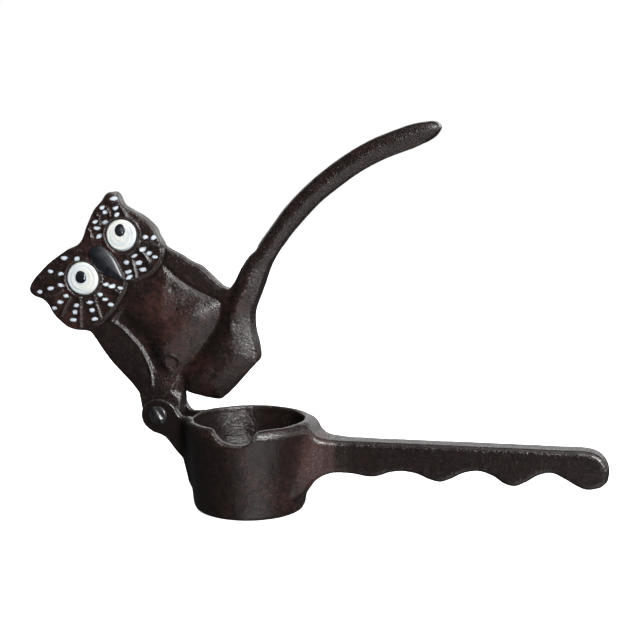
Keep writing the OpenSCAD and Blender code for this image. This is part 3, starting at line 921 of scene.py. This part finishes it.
def cup_profile(settings):
    """Outer section of the cup and section of its bowl, both as radius and height."""
    rim, foot = settings.cup_rim_r / MM, settings.cup_foot_r / MM
    mouth = rim - settings.cup_wall / MM
    depth = mouth - settings.bowl_draft / MM
    floor = settings.cup_floor / MM
    outer = [(-5, 0), (foot - 2.4, 0), (foot - 0.9, 0.35), (foot - 0.1, 1.7), (foot + 0.25, 4),
             (foot + 1.1, 12), (foot + 2.5, 22), (rim - 0.5, CUP_H - 4.4), (rim - 0.25, CUP_H - 3),
             (rim - 0.6, CUP_H - 1.6), (rim - 1.4, CUP_H - 0.6), (rim - 2.6, CUP_H - 0.05),
             (rim - 3.2, CUP_H), (-5, CUP_H)]
    bowl = [(-5, CUP_H + 9), (mouth, CUP_H + 9), (mouth, CUP_H - 2), (mouth - 0.9, floor + 15),
            (depth + 0.2, floor + 8), (depth - 1.6, floor + 3), (depth - 6, floor + 0.2), (-5, floor)]
    return np.array(outer, float), np.array(bowl, float)


RIM_LIFT = 1.03
RIM_LEAN_X = 0.011
RIM_LEAN_Y = -0.019
HANDLE_TOP = [
    (23, 32.4), (24.6, 31.3), (26.2, 29.7), (28.6, 28.3), (32, 27.8), (40, 27.6), (80, 28.1), (112, 28.5),
    (120, 28.65), (124.9, 28), (127.9, 26), (129.7, 22.8), (130.1, 20.6),
]
HANDLE_UNDER = [
    (129.6, 18), (127.2, 15.7), (122.8, 14.6), (119.2, 15.7), (114.6, 18.2), (110.2, 19.9), (105.6, 18.8),
    (101.8, 16.3), (97.6, 14.4), (93.8, 15.1), (89.2, 17.9), (84.2, 19), (79.4, 18), (75.4, 15.8),
    (71.3, 14.2), (67.2, 15), (63, 16.7), (58, 17.3), (52.8, 16.6), (48.6, 15), (44.8, 14.6), (40, 15.2),
    (34.4, 15.5), (31, 15.1), (27.8, 13.7), (25.3, 11.5), (22.4, 8), (18, 6.5),
]

# Places along the handle and how much wider it is there, on either side
HANDLE_FLARE = [
    (20, 5.6), (23, 4.6), (26, 3), (29, 1.7), (33, 0.7), (38, 0.15), (44, 0), (118, 0), (131, -0.1),
]

# The lugs' edges, counted from the hinge's axis
LUG_EDGE_ABOVE = [
    (3.4, 5.7), (5.4, 4.7), (6.7, 3.2), (7.4, 1.6), (8.3, 0.4), (9.6, -0.9), (11.6, -1.9),
]
LUG_EDGE_BELOW = [
    (-2, -6.4), (0.6, -7), (2.8, -8.1), (4.4, -9.9), (6.2, -12.3), (9.5, -16), (10.8, -20), (12.2, -24),
]
LUG_R = 6.4
LUG_HALF = 7.75
LUG_FILLET = 0.6
LUG_FILLET_INWARD = 3.2
TONGUE_R = 7.2
TONGUE_GAP = 0.5
SLOT_HALF = 4.55
SHANK_R = 2.2
BORE_R = 2.28

# Roundings of the casting's edges
HANDLE_ROUND = 1.9
LUG_ROUND = 0.8
SIDE_ROUND = 0.35
MOUTH_ROUND = 1.1
NOTCH_ROUND = 1.3
CHIP_ROUND = 0.5
SLOT_ROUND = 0.25

# The notch in the rim is cut from outside to this y
NOTCH_Y = -8
NOTCH_SHIFT = 0.5
NOTCH = [
    (-8.8, 3.1), (-8, 1.7), (-6.8, -0.6), (-4.8, -2.5), (-2.2, -3.4), (1.4, -3.7), (4.2, -3.2), (6.1, -1.8),
    (7.1, 0.2), (8.2, 1.6), (9.6, 2.6), (9.6, 9), (-8.8, 9),
]
NOTCH_CHIP_R = 0.9
NOTCH_CHIPS = [
    (8.6, -23.6, -0.8), (8, -23.9, -2.8), (6.9, -24.3, -4.8), (-7.4, -23.9, -1.4),
]

# Lowest and highest corner of the grid of each casting
CUP_GRID = ((-41.2, -25.9, -1.1), (131.6, 25.9, 42.2))
LEVER_GRID = ((-38.2, -8.7, -14.6), (117, 8.9, 72.6))


def lug_outline():
    """Side view of the lugs and of the web that carries them."""
    arc = [(LUG_R * math.cos(a), LUG_R * math.sin(a)) for a in np.radians(np.linspace(58, 224, 22))]
    points = LUG_EDGE_ABOVE[::-1] + arc + LUG_EDGE_BELOW + [(14, -24), (14, -2)]
    return np.array(points) + (PIVOT_X, PIVOT_Z)


def slot_outline():
    """Side view of the room between the lugs."""
    angle = open_angle()
    low = np.array([(PIVOT_X + TONGUE_R * math.sin(angle), PIVOT_H - TONGUE_R * math.cos(angle)),
                    (-20, 1.8)])
    run = low[1] - low[0]
    along = run / np.linalg.norm(run)
    below = TONGUE_GAP * np.array([along[1], -along[0]])
    points = [low[0] + below, low[1] + below + 2 * along, (-18, 14), (PIVOT_X - 14, 14),
              (PIVOT_X - 14, PIVOT_H), (PIVOT_X, PIVOT_H)]
    return np.array(points) + (0, CUP_H)


def solid_grid(corners, step):
    """A solid grid as x, y and height, and the same in side view."""
    axes = [np.arange(a, b, step) for a, b in zip(*corners)]
    return (*np.meshgrid(*axes, indexing="ij", sparse=True),
            *np.meshgrid(axes[0], axes[2], indexing="ij"))


def bored(form, side_x, side_h, pivot_h, bore_r):
    """The form with the rivet's bore through it."""
    bore = bore_r - np.hypot(side_x - PIVOT_X, side_h - pivot_h)
    return np.minimum(form, -bore[:, None, :]).astype(np.float32)


def cup_field(settings):
    """The lower casting as a field on the cup's grid."""
    step = settings.surface_step / MM
    x, y, z, side_x, side_z = solid_grid(CUP_GRID, step)
    radius = np.hypot(x, y)

    outer, bowl = cup_profile(settings)
    section = FlatMap((0, -2), (52, 43), 0.3)
    solid = section.like(path_distance(outer, section.x, section.h, closed=True))
    hollow = section.like(path_distance(bowl, section.x, section.h, closed=True))
    lift = (RIM_LIFT + RIM_LEAN_X * x + RIM_LEAN_Y * y) * ease(z, 14, CUP_H)
    r_full, z_full = np.broadcast_arrays(radius, z - lift)
    cup = solid.at(r_full, z_full)
    hole = hollow.at(r_full, z_full)

    outline = np.vstack([smooth_path(HANDLE_TOP), smooth_path(HANDLE_UNDER), [(18, 32)]])
    side = softened(path_distance(outline, side_x, side_z, closed=True), SIDE_ROUND, step)
    half = settings.handle_width / MM / 2
    along, wider = zip(*HANDLE_FLARE)
    plan = np.interp(x, along, [half + more for more in wider]) - np.abs(y)
    handle = rounded_meet(side[:, None, :], plan, HANDLE_ROUND)
    form = blended_union(cup, handle, settings.fillet / MM)

    lug_side = softened(path_distance(lug_outline(), side_x, side_z, closed=True), SIDE_ROUND, step)
    lugs = rounded_meet(lug_side[:, None, :], LUG_HALF - np.abs(y) + 0 * x, LUG_ROUND)
    inward = ease(x, PIVOT_X + 5, PIVOT_X + 12)
    form = np.where(x < 0, blended_union(form, lugs, LUG_FILLET + LUG_FILLET_INWARD * inward), form)

    form = carved(form, hole, MOUTH_ROUND)
    notch_path = smooth_path(NOTCH, 4, closed=True) + (NOTCH_SHIFT, CUP_H)
    notch_side = path_distance(notch_path, side_x, side_z, closed=True)
    notch = np.minimum(notch_side[:, None, :], NOTCH_Y - y)
    form = carved(form, notch, NOTCH_ROUND)
    for cx, cy, ch in NOTCH_CHIPS:
        away = np.sqrt((x - cx) ** 2 + (y - cy) ** 2 + (z - CUP_H - ch) ** 2)
        form = carved(form, NOTCH_CHIP_R - away, CHIP_ROUND)

    slot_side = path_distance(slot_outline(), side_x, side_z, closed=True)
    swing = TONGUE_R + TONGUE_GAP - np.hypot(side_x - PIVOT_X, side_z - PIVOT_Z)
    slot = np.minimum(np.maximum(slot_side, swing)[:, None, :], SLOT_HALF - np.abs(y))
    form = carved(form, slot, SLOT_ROUND)
    return bored(form, side_x, side_z, PIVOT_Z, SHANK_R)


def near_hinge(points, pivot_h, start, end):
    """1 close to the hinge's axis, 0 away from it."""
    return 1 - ease(np.hypot(points[:, 0] - PIVOT_X, points[:, 2] - pivot_h), start, end)


class PRESS_OT_cup_casting(bpy.types.Operator):
    """Makes the cup, its lugs and its handle as one iron casting"""

    bl_idname = "press.cup_casting"
    bl_label = "Cup and handle casting"

    def execute(self, context):
        settings = context.scene.press_casting
        step = settings.surface_step / MM
        field = cup_field(settings)

        def still(points):
            """1 beside the tongue, in the slot and under the foot."""
            x, y, z = points[:, 0], np.abs(points[:, 1]), points[:, 2]
            running = near_hinge(points, PIVOT_Z, 8.5, 11) * (y < 5.2)
            slot = (y < 5) & (x < -18) & (z > CUP_H - 6)
            return np.maximum(np.maximum(running, slot), 1 - ease(z, 0.2, 1.2))

        points, outward, quads = cast_skin(field, CUP_GRID[0], step, still)
        points[:, 2] = np.maximum(points[:, 2], 0)
        x, z = points[:, 0], points[:, 2]
        wear = worn_edges(points, outward, quads)
        warm = 1.3 * patch(x, z, 27, 20, 6, 9) - 0.2 * ease(x, 34, 60) - 0.9 * ease(-x, 14, 24)
        lug = near_hinge(points, PIVOT_Z, 6.2, 11) + 0.35 + 0.1 * ease(x, 18, 30)
        looks = {"wear": wear, "warm": warm, "lug": np.minimum(lug, 1)}
        casting = make_piece("cup_and_handle", points, quads, iron_material(), looks)
        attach(casting, "base")
        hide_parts("cup_handle_casting")
        return {"FINISHED"}


# ---- The owl lever ----

_made = {}


def owl():
    """The owl's relief, worked out once."""
    if "owl" not in _made:
        _made["owl"] = Owl(bpy.context.scene.press_owl)
    return _made["owl"]


def iron_material():
    """The castings' material, made once."""
    if "iron" not in _made:
        _made["iron"] = iron_coat(bpy.context.scene.press_casting)
    return _made["iron"]


class PRESS_OT_owl_casting(bpy.types.Operator):
    """Makes the owl, its pressing foot and its grip as one iron casting"""

    bl_idname = "press.owl_casting"
    bl_label = "Owl lever casting"

    def execute(self, context):
        settings = context.scene.press_casting
        relief = owl()
        step = settings.surface_step / MM
        _, y, _, side_x, side_h = solid_grid(LEVER_GRID, step)
        maps = (relief.inside, relief.height, relief.rounding)
        inside, height, rounding = (values.at(side_x, side_h)[:, None, :] for values in maps)
        form = rounded_meet(inside, height - np.abs(y), rounding)
        form = bored(form, side_x, side_h, PIVOT_H, BORE_R)

        def still(points):
            """1 on the tongue."""
            return near_hinge(points, PIVOT_H, HINGE_FACE_R, 12)

        points, outward, quads = cast_skin(form, LEVER_GRID[0], step, still)
        x, h = points[:, 0], points[:, 2]
        wear = worn_edges(points, outward, quads)
        warm = 0.4 * patch(x, h, -4, 25, 13, 13)
        warm -= 0.5 * patch(x, h, -28, 22, 6, 14)
        warm += 0.1 * ease(h, 40, 44)
        # Painted highlights: grey patches where the owl catches the light, and along the grip's lower side,
        # which faces the light
        rub_and_sheen = sum(share * patch(x, h, *place) for *place, share in RUBBED_AND_SHEEN_PATCHES)
        rub_and_sheen += 0.35 * ease(x, 30, 40) * (1 - relief.upper.at(x, h))
        # Painted shade: the owl's side walls are darkened, except near the foot
        near_foot = (1 - ease(h, 9, 15)) * (1 - ease(x, 22, 28))
        lug = ease(1 - np.abs(outward[:, 1]), 0.5, 0.85) * (1 - near_foot)
        looks = {"wear": wear * (1 - 0.6 * lug), "warm": warm, "rub_and_sheen": rub_and_sheen * (1 - lug), "lug": lug}
        casting = make_piece("owl_lever", opened(points), quads, iron_material(), looks)
        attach(casting, "lever")
        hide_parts("owl_lever_casting")
        return {"FINISHED"}


# ---- The rivet ----

HEAD_SEAT = 7.7
HEAD_R = 3.7
HEAD_RISE = 1.3
HEAD_DENTS = [(0.14, 2.3, 21), (0.06, 0.9, 22)]
# A worn ridge runs over the heads: the direction across it and its rise
RIDGE_ACROSS = (0.81, 0.59)
RIDGE_RISE = 0.62


def turned(profile, segments=96):
    """Points and faces of a form turned round the hinge's axis; the profile is radius and y."""
    count = len(profile)
    points = []
    for k in range(segments):
        angle = 2 * math.pi * k / segments
        points += [(PIVOT_X + r * math.cos(angle), y, PIVOT_Z + r * math.sin(angle)) for r, y in profile]
    faces = []
    for k in range(segments):
        a, b = k * count, (k + 1) % segments * count
        faces += [(a + i, b + i, b + i + 1, a + i + 1) for i in range(count - 1)]
    points += [(PIVOT_X, profile[0][1], PIVOT_Z), (PIVOT_X, profile[-1][1], PIVOT_Z)]
    first, last = len(points) - 2, len(points) - 1
    for k in range(segments):
        a, b = k * count, (k + 1) % segments * count
        faces += [(first, b, a), (last, a + count - 1, b + count - 1)]
    return np.array(points), faces


class PRESS_OT_hinge_rivet(bpy.types.Operator):
    """Makes the rivet with its two hammered, domed heads"""

    bl_idname = "press.hinge_rivet"
    bl_label = "Hinge rivet"

    def execute(self, context):
        edge = HEAD_SEAT + 0.12
        half = [(HEAD_R * math.sin(a), edge + (HEAD_RISE - 0.12) * math.cos(a))
                for a in np.radians(np.linspace(3, 84, 14))]
        half += [(HEAD_R + 0.02, HEAD_SEAT + 0.1), (HEAD_R - 0.02, HEAD_SEAT - 0.25),
                 (SHANK_R, HEAD_SEAT - 0.3), (SHANK_R, HEAD_SEAT - 3.5)]
        profile = half + [(SHANK_R, 0)] + [(r, -y) for r, y in reversed(half)]
        points, faces = turned(profile)
        head_side = ease(np.abs(points[:, 1]), HEAD_SEAT - 0.1, HEAD_SEAT + 0.3)
        dents = uneven(points, HEAD_DENTS)
        x, z = points[:, 0] - PIVOT_X, points[:, 2] - PIVOT_Z
        across = x * RIDGE_ACROSS[0] + z * RIDGE_ACROSS[1]
        dents += RIDGE_RISE * ridge(across - 0.5, 1.0)
        points[:, 1] += np.sign(points[:, 1]) * dents * head_side
        rivet = make_piece("hinge_rivet_headed", points, faces,
                           rivet_finish(context.scene.press_casting), {"wear": 1 - np.hypot(x, z) / HEAD_R})
        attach(rivet, "base")
        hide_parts("hinge_rivet")
        return {"FINISHED"}


# ---- Enamel coats ----


def ellipse(x, h, a, b, tilt=0.0, points=40, wobble=0.0, seed=0):
    """A closed hand-painted outline round a centre."""
    turn = np.linspace(0, 2 * math.pi, points, endpoint=False)
    waves = np.random.default_rng(seed).uniform(-1, 1, (3, 2))
    ripple = sum(w[0] * np.cos((i + 2) * turn) + w[1] * np.sin((i + 2) * turn) for i, w in enumerate(waves))
    scale = 1 + wobble * ripple / 3
    u, v = a * scale * np.cos(turn), b * scale * np.sin(turn)
    tilt = math.radians(tilt)
    return np.stack([x + u * math.cos(tilt) - v * math.sin(tilt),
                     h + u * math.sin(tilt) + v * math.cos(tilt)], axis=1)


def dab(outline, seat, crown, rings=10, sunk=0.12, centre=None):
    """A coat of enamel on both faces of the owl.

    seat gives the height of what it lies on, crown its thickness from the middle (0) to its edge (1).
    Returns points, faces and how near its edge each point is.
    """
    outline = np.array(outline)
    middle = outline.mean(axis=0) if centre is None else np.array(centre)
    count = len(outline)
    shares = np.sin(np.linspace(0, math.pi / 2, rings + 1))[1:]
    flat = [middle[None, :]] + [middle + share * (outline - middle) for share in shares]
    flat.append(outline)
    flat = np.vstack(flat)
    near_edge = np.concatenate([[0], np.repeat(shares, count), np.ones(count)])
    top = seat(flat[:, 0], flat[:, 1]) + crown(near_edge)
    top[-count:] = seat(outline[:, 0], outline[:, 1]) - sunk
    faces = [(0, 1 + (i + 1) % count, 1 + i) for i in range(count)]
    for ring in range(rings):
        a, b = 1 + ring * count, 1 + (ring + 1) * count
        faces += [(a + i, a + (i + 1) % count, b + (i + 1) % count, b + i) for i in range(count)]
    rim = 1 + rings * count
    faces.append(tuple(rim + i for i in range(count)))
    front = np.stack([flat[:, 0], -top, flat[:, 1]], axis=1)
    back = front * (1, -1, 1)
    both = faces + [tuple(len(front) + i for i in reversed(face)) for face in faces]
    return np.vstack([front, back]), both, np.tile(near_edge, 2)


def joined(parts):
    """Several dabs as one piece."""
    points, faces, edges, start = [], [], [], 0
    for part_points, part_faces, part_edges in parts:
        faces += [tuple(start + i for i in face) for face in part_faces]
        points.append(part_points)
        edges.append(part_edges)
        start += len(part_points)
    return np.vstack(points), faces, np.concatenate(edges)


def rounded_off(edge, power):
    """1 in the middle of a coat and 0 at its edge; a high power keeps it full for longer."""
    return np.sqrt(np.clip(1 - edge ** power, 0, 1))


def white_crown(edge):
    """Thickness of the brushed white enamel."""
    coat = bpy.context.scene.press_owl.coat / MM
    ripple = 0.035 * np.cos(edge * 21) + 0.02 * np.cos(edge * 37 + 1)
    return (coat + ripple * (edge < 0.97)) * rounded_off(edge, 9)


def on_white(x, h):
    """Height of the white enamel's surface."""
    top = owl().face_y(x, h)
    for cx, ch, r in EYES:
        away = np.hypot(x - cx, h - ch) / r
        top = np.where(away < 1, top + white_crown(np.clip(away, 0, 1)), top)
    return top


# How the brush strokes of the whites are spread: across them, along them and from eye to eye
STROKES_ACROSS = 3.6
STROKE_LENGTH = 2.2
STROKES_APART = 9


class PRESS_OT_eye_whites(bpy.types.Operator):
    """Brushes the white enamel on the round eyes"""

    bl_idname = "press.eye_whites"
    bl_label = "White enamel of the eyes"

    def execute(self, context):
        parts, strokes = [], []
        for seed, (x, h, r) in enumerate(EYES):
            part = dab(ellipse(x, h, r, r, points=96, wobble=0.025, seed=seed + 3), owl().face_y,
                       white_crown, rings=30)
            across, up = part[0][:, 0] - x, part[0][:, 2] - h
            away, turn = np.hypot(across, up), np.arctan2(up, across)
            aside, along = STROKE_LENGTH * np.cos(turn), STROKE_LENGTH * np.sin(turn)
            strokes.append(np.stack([away * STROKES_ACROSS, aside + STROKES_APART * seed, along], axis=1))
            parts.append(part)
        points, faces, _ = joined(parts)
        whites = make_piece("eye_whites_brushed", opened(points), faces,
                            white_enamel(context.scene.press_owl), {"stroke": np.vstack(strokes)})
        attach(whites, "lever")
        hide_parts("eye_whites")
        return {"FINISHED"}


class PRESS_OT_pupils(bpy.types.Operator):
    """Paints the black pupils, with a highlight on the right one, and their pale glints, which are painted
    highlights
    """

    bl_idname = "press.pupils"
    bl_label = "Pupils and glints"

    def execute(self, context):
        settings = context.scene.press_owl
        coat = settings.coat / MM
        parts = [dab(ellipse(x, h, a, b, tilt=-48, points=48, wobble=0.05, seed=seed + 11), on_white,
                     lambda edge: coat * rounded_off(edge, 4))
                 for seed, (x, h, a, b) in enumerate(PUPILS)]
        points, faces, _ = joined(parts)
        # A painted highlight on the right pupil, right of its middle
        x, h = PUPILS[1][:2]
        painted_sheen = 0.9 * np.exp(-((points[:, 0] - x - 0.9) ** 2 + (points[:, 2] - h + 0.4) ** 2) / 0.8)
        pupils = make_piece("pupils_painted", opened(points), faces,
                            black_enamel(settings, "gloss_black_pupil_enamel", 0.2), {"painted_sheen": painted_sheen})
        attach(pupils, "lever")
        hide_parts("pupils")

        def on_pupil(x, h):
            """Height of the black enamel's surface."""
            return on_white(x, h) + coat

        parts = [dab(ellipse(x, h, a, b, tilt, points=20, wobble=0.1, seed=seed + 31), on_pupil,
                     lambda edge: GLINT_COAT * rounded_off(edge, 2), rings=4, sunk=0.1)
                 for seed, (x, h, a, b, tilt) in enumerate(GLINTS)]
        points, faces, edges = joined(parts)
        glints = make_piece("pupil_glints", opened(points), faces, glint_enamel(settings), {"thin": edges})
        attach(glints, "lever")
        return {"FINISHED"}


class PRESS_OT_beak(bpy.types.Operator):
    """Paints the glossy black beak"""

    bl_idname = "press.beak"
    bl_label = "Beak enamel"

    def execute(self, context):
        settings = context.scene.press_owl
        coat = settings.coat / MM
        points, faces, _ = dab(smooth_path(BEAK, 9, closed=True), owl().face_y,
                               lambda edge: coat * rounded_off(edge, 6), rings=26, centre=BEAK_MIDDLE)
        # A painted highlight along the right side of the beak
        side = ridge(points[:, 0] + 2.8, 0.9) * ease(points[:, 2], 46, 51)
        side *= 1 - ease(points[:, 2], 55, 59)
        beak = make_piece("beak_painted", opened(points), faces,
                          black_enamel(settings, "gloss_black_beak_enamel", 0.42),
                          {"painted_sheen": 0.25 * side})
        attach(beak, "lever")
        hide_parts("beak_enamel")
        return {"FINISHED"}


# The dots round each eye: direction from the eye's centre in degrees, and distances along it
DOT_ROWS = [
    [(57, (7.5,)), (86, (10.2,)), (122, (8.5, 12.8)), (150, (9, 13.4, 18)), (177, (9.5, 12.9, 16.3)),
     (-153, (10.5, 13.1, 16.2)), (-122, (9.2, 12.2, 15.6)), (-89, (8.8, 11.4, 14.3)),
     (-60, (9.3, 11.8, 14.9))],
    [(53, (7.6, 10, 13.5)), (78, (10.2, 12.2)), (95, (7.6,)), (107, (11,)), (118, (9.6,)), (136, (8.6,)),
     (-51, (9.2, 12.9)), (-79, (9.6, 12.3, 14.8)), (-105, (8.9, 11.9, 14.8)), (-128, (10.1, 13.6, 15.6))],
]
DOT_TILTS = (-44, -33)
DOT_TURN = 14
DOT_LENGTH = (1.05, 1.5)
DOT_WIDTH = (0.66, 0.92)
DOT_MARGIN = 1.25
DOT_COAT = 0.26


class PRESS_OT_feather_dots(bpy.types.Operator):
    """Sets the white enamel dots in rows round the eyes"""

    bl_idname = "press.feather_dots"
    bl_label = "Feather dots"

    def execute(self, context):
        rng = np.random.default_rng(8)
        parts = []
        for (cx, ch, _), rows, tilt in zip(EYES, DOT_ROWS, DOT_TILTS):
            for direction, distance in ((way, far) for way, row in rows for far in row):
                angle = math.radians(direction)
                way = np.array((math.cos(angle), math.sin(angle)))
                while owl().inside.at(*((cx, ch) + distance * way)) < DOT_MARGIN:
                    distance -= 0.1
                x, h = (cx, ch) + distance * way
                a = rng.uniform(*DOT_LENGTH)
                b = rng.uniform(*DOT_WIDTH)
                turn = tilt + rng.uniform(-DOT_TURN, DOT_TURN)
                shape = ellipse(x, h, a, b, turn, points=24, wobble=0.16, seed=int(rng.integers(999)))
                parts.append(dab(shape, owl().face_y, lambda edge: DOT_COAT * rounded_off(edge, 3),
                                 rings=5, sunk=0.15))
        points, faces, edges = joined(parts)
        dots = make_piece("feather_dots", opened(points), faces, dot_enamel(context.scene.press_owl),
                          {"thin": edges})
        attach(dots, "lever")
        return {"FINISHED"}


# ---- The stage ----

FLOOR_RINGS = (0.05, 0.2, 0.5, 1)
FLOOR_SIDES = 96
LOOK_AT = (0, 0, 0.06)
# Directions of the studio's reflections: the wall behind, what is overhead, the card and the sheet
BEHIND = (0.1, 1, 0)
ABOVE = (0, 0, 1)
CARD = (0.6, -0.8, 0)
SHEET = (0.33, -0.61, -0.72)
SENSOR_MM = 36
NEAREST_SEEN_M = 0.01


def soft_light(name, place, size, watts, target=LOOK_AT):
    """A soft rectangular light that points at the target; places and sizes are in metres."""
    lamp = bpy.data.lights.new(name, "AREA")
    lamp.shape = "RECTANGLE"
    lamp.size, lamp.size_y = size
    lamp.energy = watts
    light = bpy.data.objects.new(name, lamp)
    light.location = place
    light.rotation_euler = (Vector(target) - Vector(place)).to_track_quat("-Z", "Y").to_euler()
    bpy.context.scene.collection.objects.link(light)
    return light


class PRESS_OT_stage(bpy.types.Operator):
    """Makes the pale floor, the soft lights and the camera"""

    bl_idname = "press.stage"
    bl_label = "Floor, lights and camera"

    def execute(self, context):
        scene = context.scene
        settings = scene.press_stage
        paint = Paint("pale_matt_floor")
        cloud = paint.noise(300, 2)
        shade = paint.mix(cloud, settings.floor_colour, tuple(0.98 * c for c in settings.floor_colour))
        pale = paint.finish(Base_Color=shade, Roughness=0.9 + (cloud - 0.5) * 0.05,
                            Normal=paint.bump(paint.noise(4, 2), 0.05, 0.2), Specular_IOR_Level=0.1,
                            Emission_Color=shade, Emission_Strength=settings.floor_glow)
        rings = [share * settings.floor_radius / MM for share in FLOOR_RINGS]
        points = [(r * math.cos(t), r * math.sin(t), 0) for r in rings
                  for t in np.linspace(0, 2 * math.pi, FLOOR_SIDES, endpoint=False)]
        faces = [tuple(range(FLOOR_SIDES))]
        for k in range(len(rings) - 1):
            a, b = k * FLOOR_SIDES, (k + 1) * FLOOR_SIDES
            faces += [(a + i, b + i, b + (i + 1) % FLOOR_SIDES, a + (i + 1) % FLOOR_SIDES)
                      for i in range(FLOOR_SIDES)]
        floor = make_piece("studio_floor", points, faces, pale)
        floor.visible_glossy = False
        floor.visible_diffuse = False
        floor.visible_shadow = False

        studio = Paint("studio", bpy.data.worlds)
        looking = studio.add("ShaderNodeTexCoord", out="Generated")
        behind, above, card, sheet = (
            studio.add("ShaderNodeVectorMath", {0: looking, 1: way}, out="Value", operation="DOT_PRODUCT")
            for way in (BEHIND, ABOVE, CARD, SHEET))
        wall = studio.band(behind, 0.2, 0.8) * studio.band(above, -0.06, 0.1)
        wall = wall * (1 - studio.band(above, 0.22, 0.44))
        glow = wall * settings.backdrop_glow
        glow = glow + studio.band(card, 0.88, 0.98) * settings.card_glow
        glow = glow + studio.band(sheet, 0.91, 0.975) * settings.sheet_glow + settings.surround
        lit = studio.add("ShaderNodeBackground", {"Color": (1, 1, 1, 1), "Strength": glow})
        plain = studio.add("ShaderNodeBackground", {"Color": (1, 1, 1, 1)})
        seen = studio.add("ShaderNodeLightPath", out="Is Camera Ray")
        studio.add("ShaderNodeOutputWorld",
                   {"Surface": studio.add("ShaderNodeMixShader", {0: seen, 1: lit, 2: plain})})
        scene.world = studio.owner
        soft_light("top_softbox", place=(0.35, -0.1, 1.3), size=(1.1, 1.1), watts=settings.top_watts,
                   target=(0, 0, 0))
        soft_light("key_window", place=(0.62, -0.7, 0.5), size=(0.36, 0.5), watts=settings.key_watts)
        fill = soft_light("back_fill", place=(-0.5, 1, 0.8), size=(0.9, 0.9), watts=settings.fill_watts)
        fill.visible_glossy = False
        soft_light("right_strip", place=(0.9, -0.15, 0.3), size=(0.16, 0.6), watts=settings.strip_watts)

        azimuth, pitch = math.radians(settings.azimuth_deg), math.radians(settings.pitch_deg)
        right = Vector((math.cos(azimuth), math.sin(azimuth), 0))
        back = Vector((math.sin(azimuth), -math.cos(azimuth), 0))
        lens = bpy.data.cameras.new("press_camera")
        lens.lens = settings.focal_mm
        lens.sensor_width = SENSOR_MM
        lens.clip_start = NEAREST_SEEN_M
        camera = bpy.data.objects.new("press_camera", lens)
        up = Vector((0, 0, settings.camera_height))
        camera.location = back * settings.distance + right * settings.slide + up
        camera.rotation_euler = Euler((math.pi / 2 - pitch, 0, azimuth))
        scene.collection.objects.link(camera)
        scene.camera = camera
        scene.view_settings.view_transform = "Standard"
        return {"FINISHED"}


# ---- The add-on ----

OPERATORS = [
    PRESS_OT_stage,
    PRESS_OT_cup_casting,
    PRESS_OT_owl_casting,
    PRESS_OT_hinge_rivet,
    PRESS_OT_eye_whites,
    PRESS_OT_pupils,
    PRESS_OT_beak,
    PRESS_OT_feather_dots,
]


class PRESS_PT_pieces(bpy.types.Panel):
    """Lists the pieces of the press"""

    bl_idname = "PRESS_PT_pieces"
    bl_label = "Lever nutcracker press"
    bl_space_type = "VIEW_3D"
    bl_region_type = "UI"
    bl_category = "Press"

    def draw(self, context):
        for operator in OPERATORS:
            self.layout.operator(operator.bl_idname)
        for group in ("press_casting", "press_owl", "press_stage"):
            box = self.layout.box()
            settings = getattr(context.scene, group)
            for name in settings.__annotations__:
                box.prop(settings, name)


GROUPS = {
    "press_casting": PressCastingSettings,
    "press_owl": PressOwlSettings,
    "press_stage": PressStageSettings,
}


def register():
    for cls in (*GROUPS.values(), *OPERATORS, PRESS_PT_pieces):
        bpy.utils.register_class(cls)
    for name, group in GROUPS.items():
        setattr(bpy.types.Scene, name, PointerProperty(type=group))


def unregister():
    for name in GROUPS:
        delattr(bpy.types.Scene, name)
    for cls in reversed((*GROUPS.values(), *OPERATORS, PRESS_PT_pieces)):
        bpy.utils.unregister_class(cls)


def main():
    register()
    for operator in OPERATORS:
        family, name = operator.bl_idname.split(".")
        getattr(getattr(bpy.ops, family), name)()


if __name__ == "__main__":
    main()
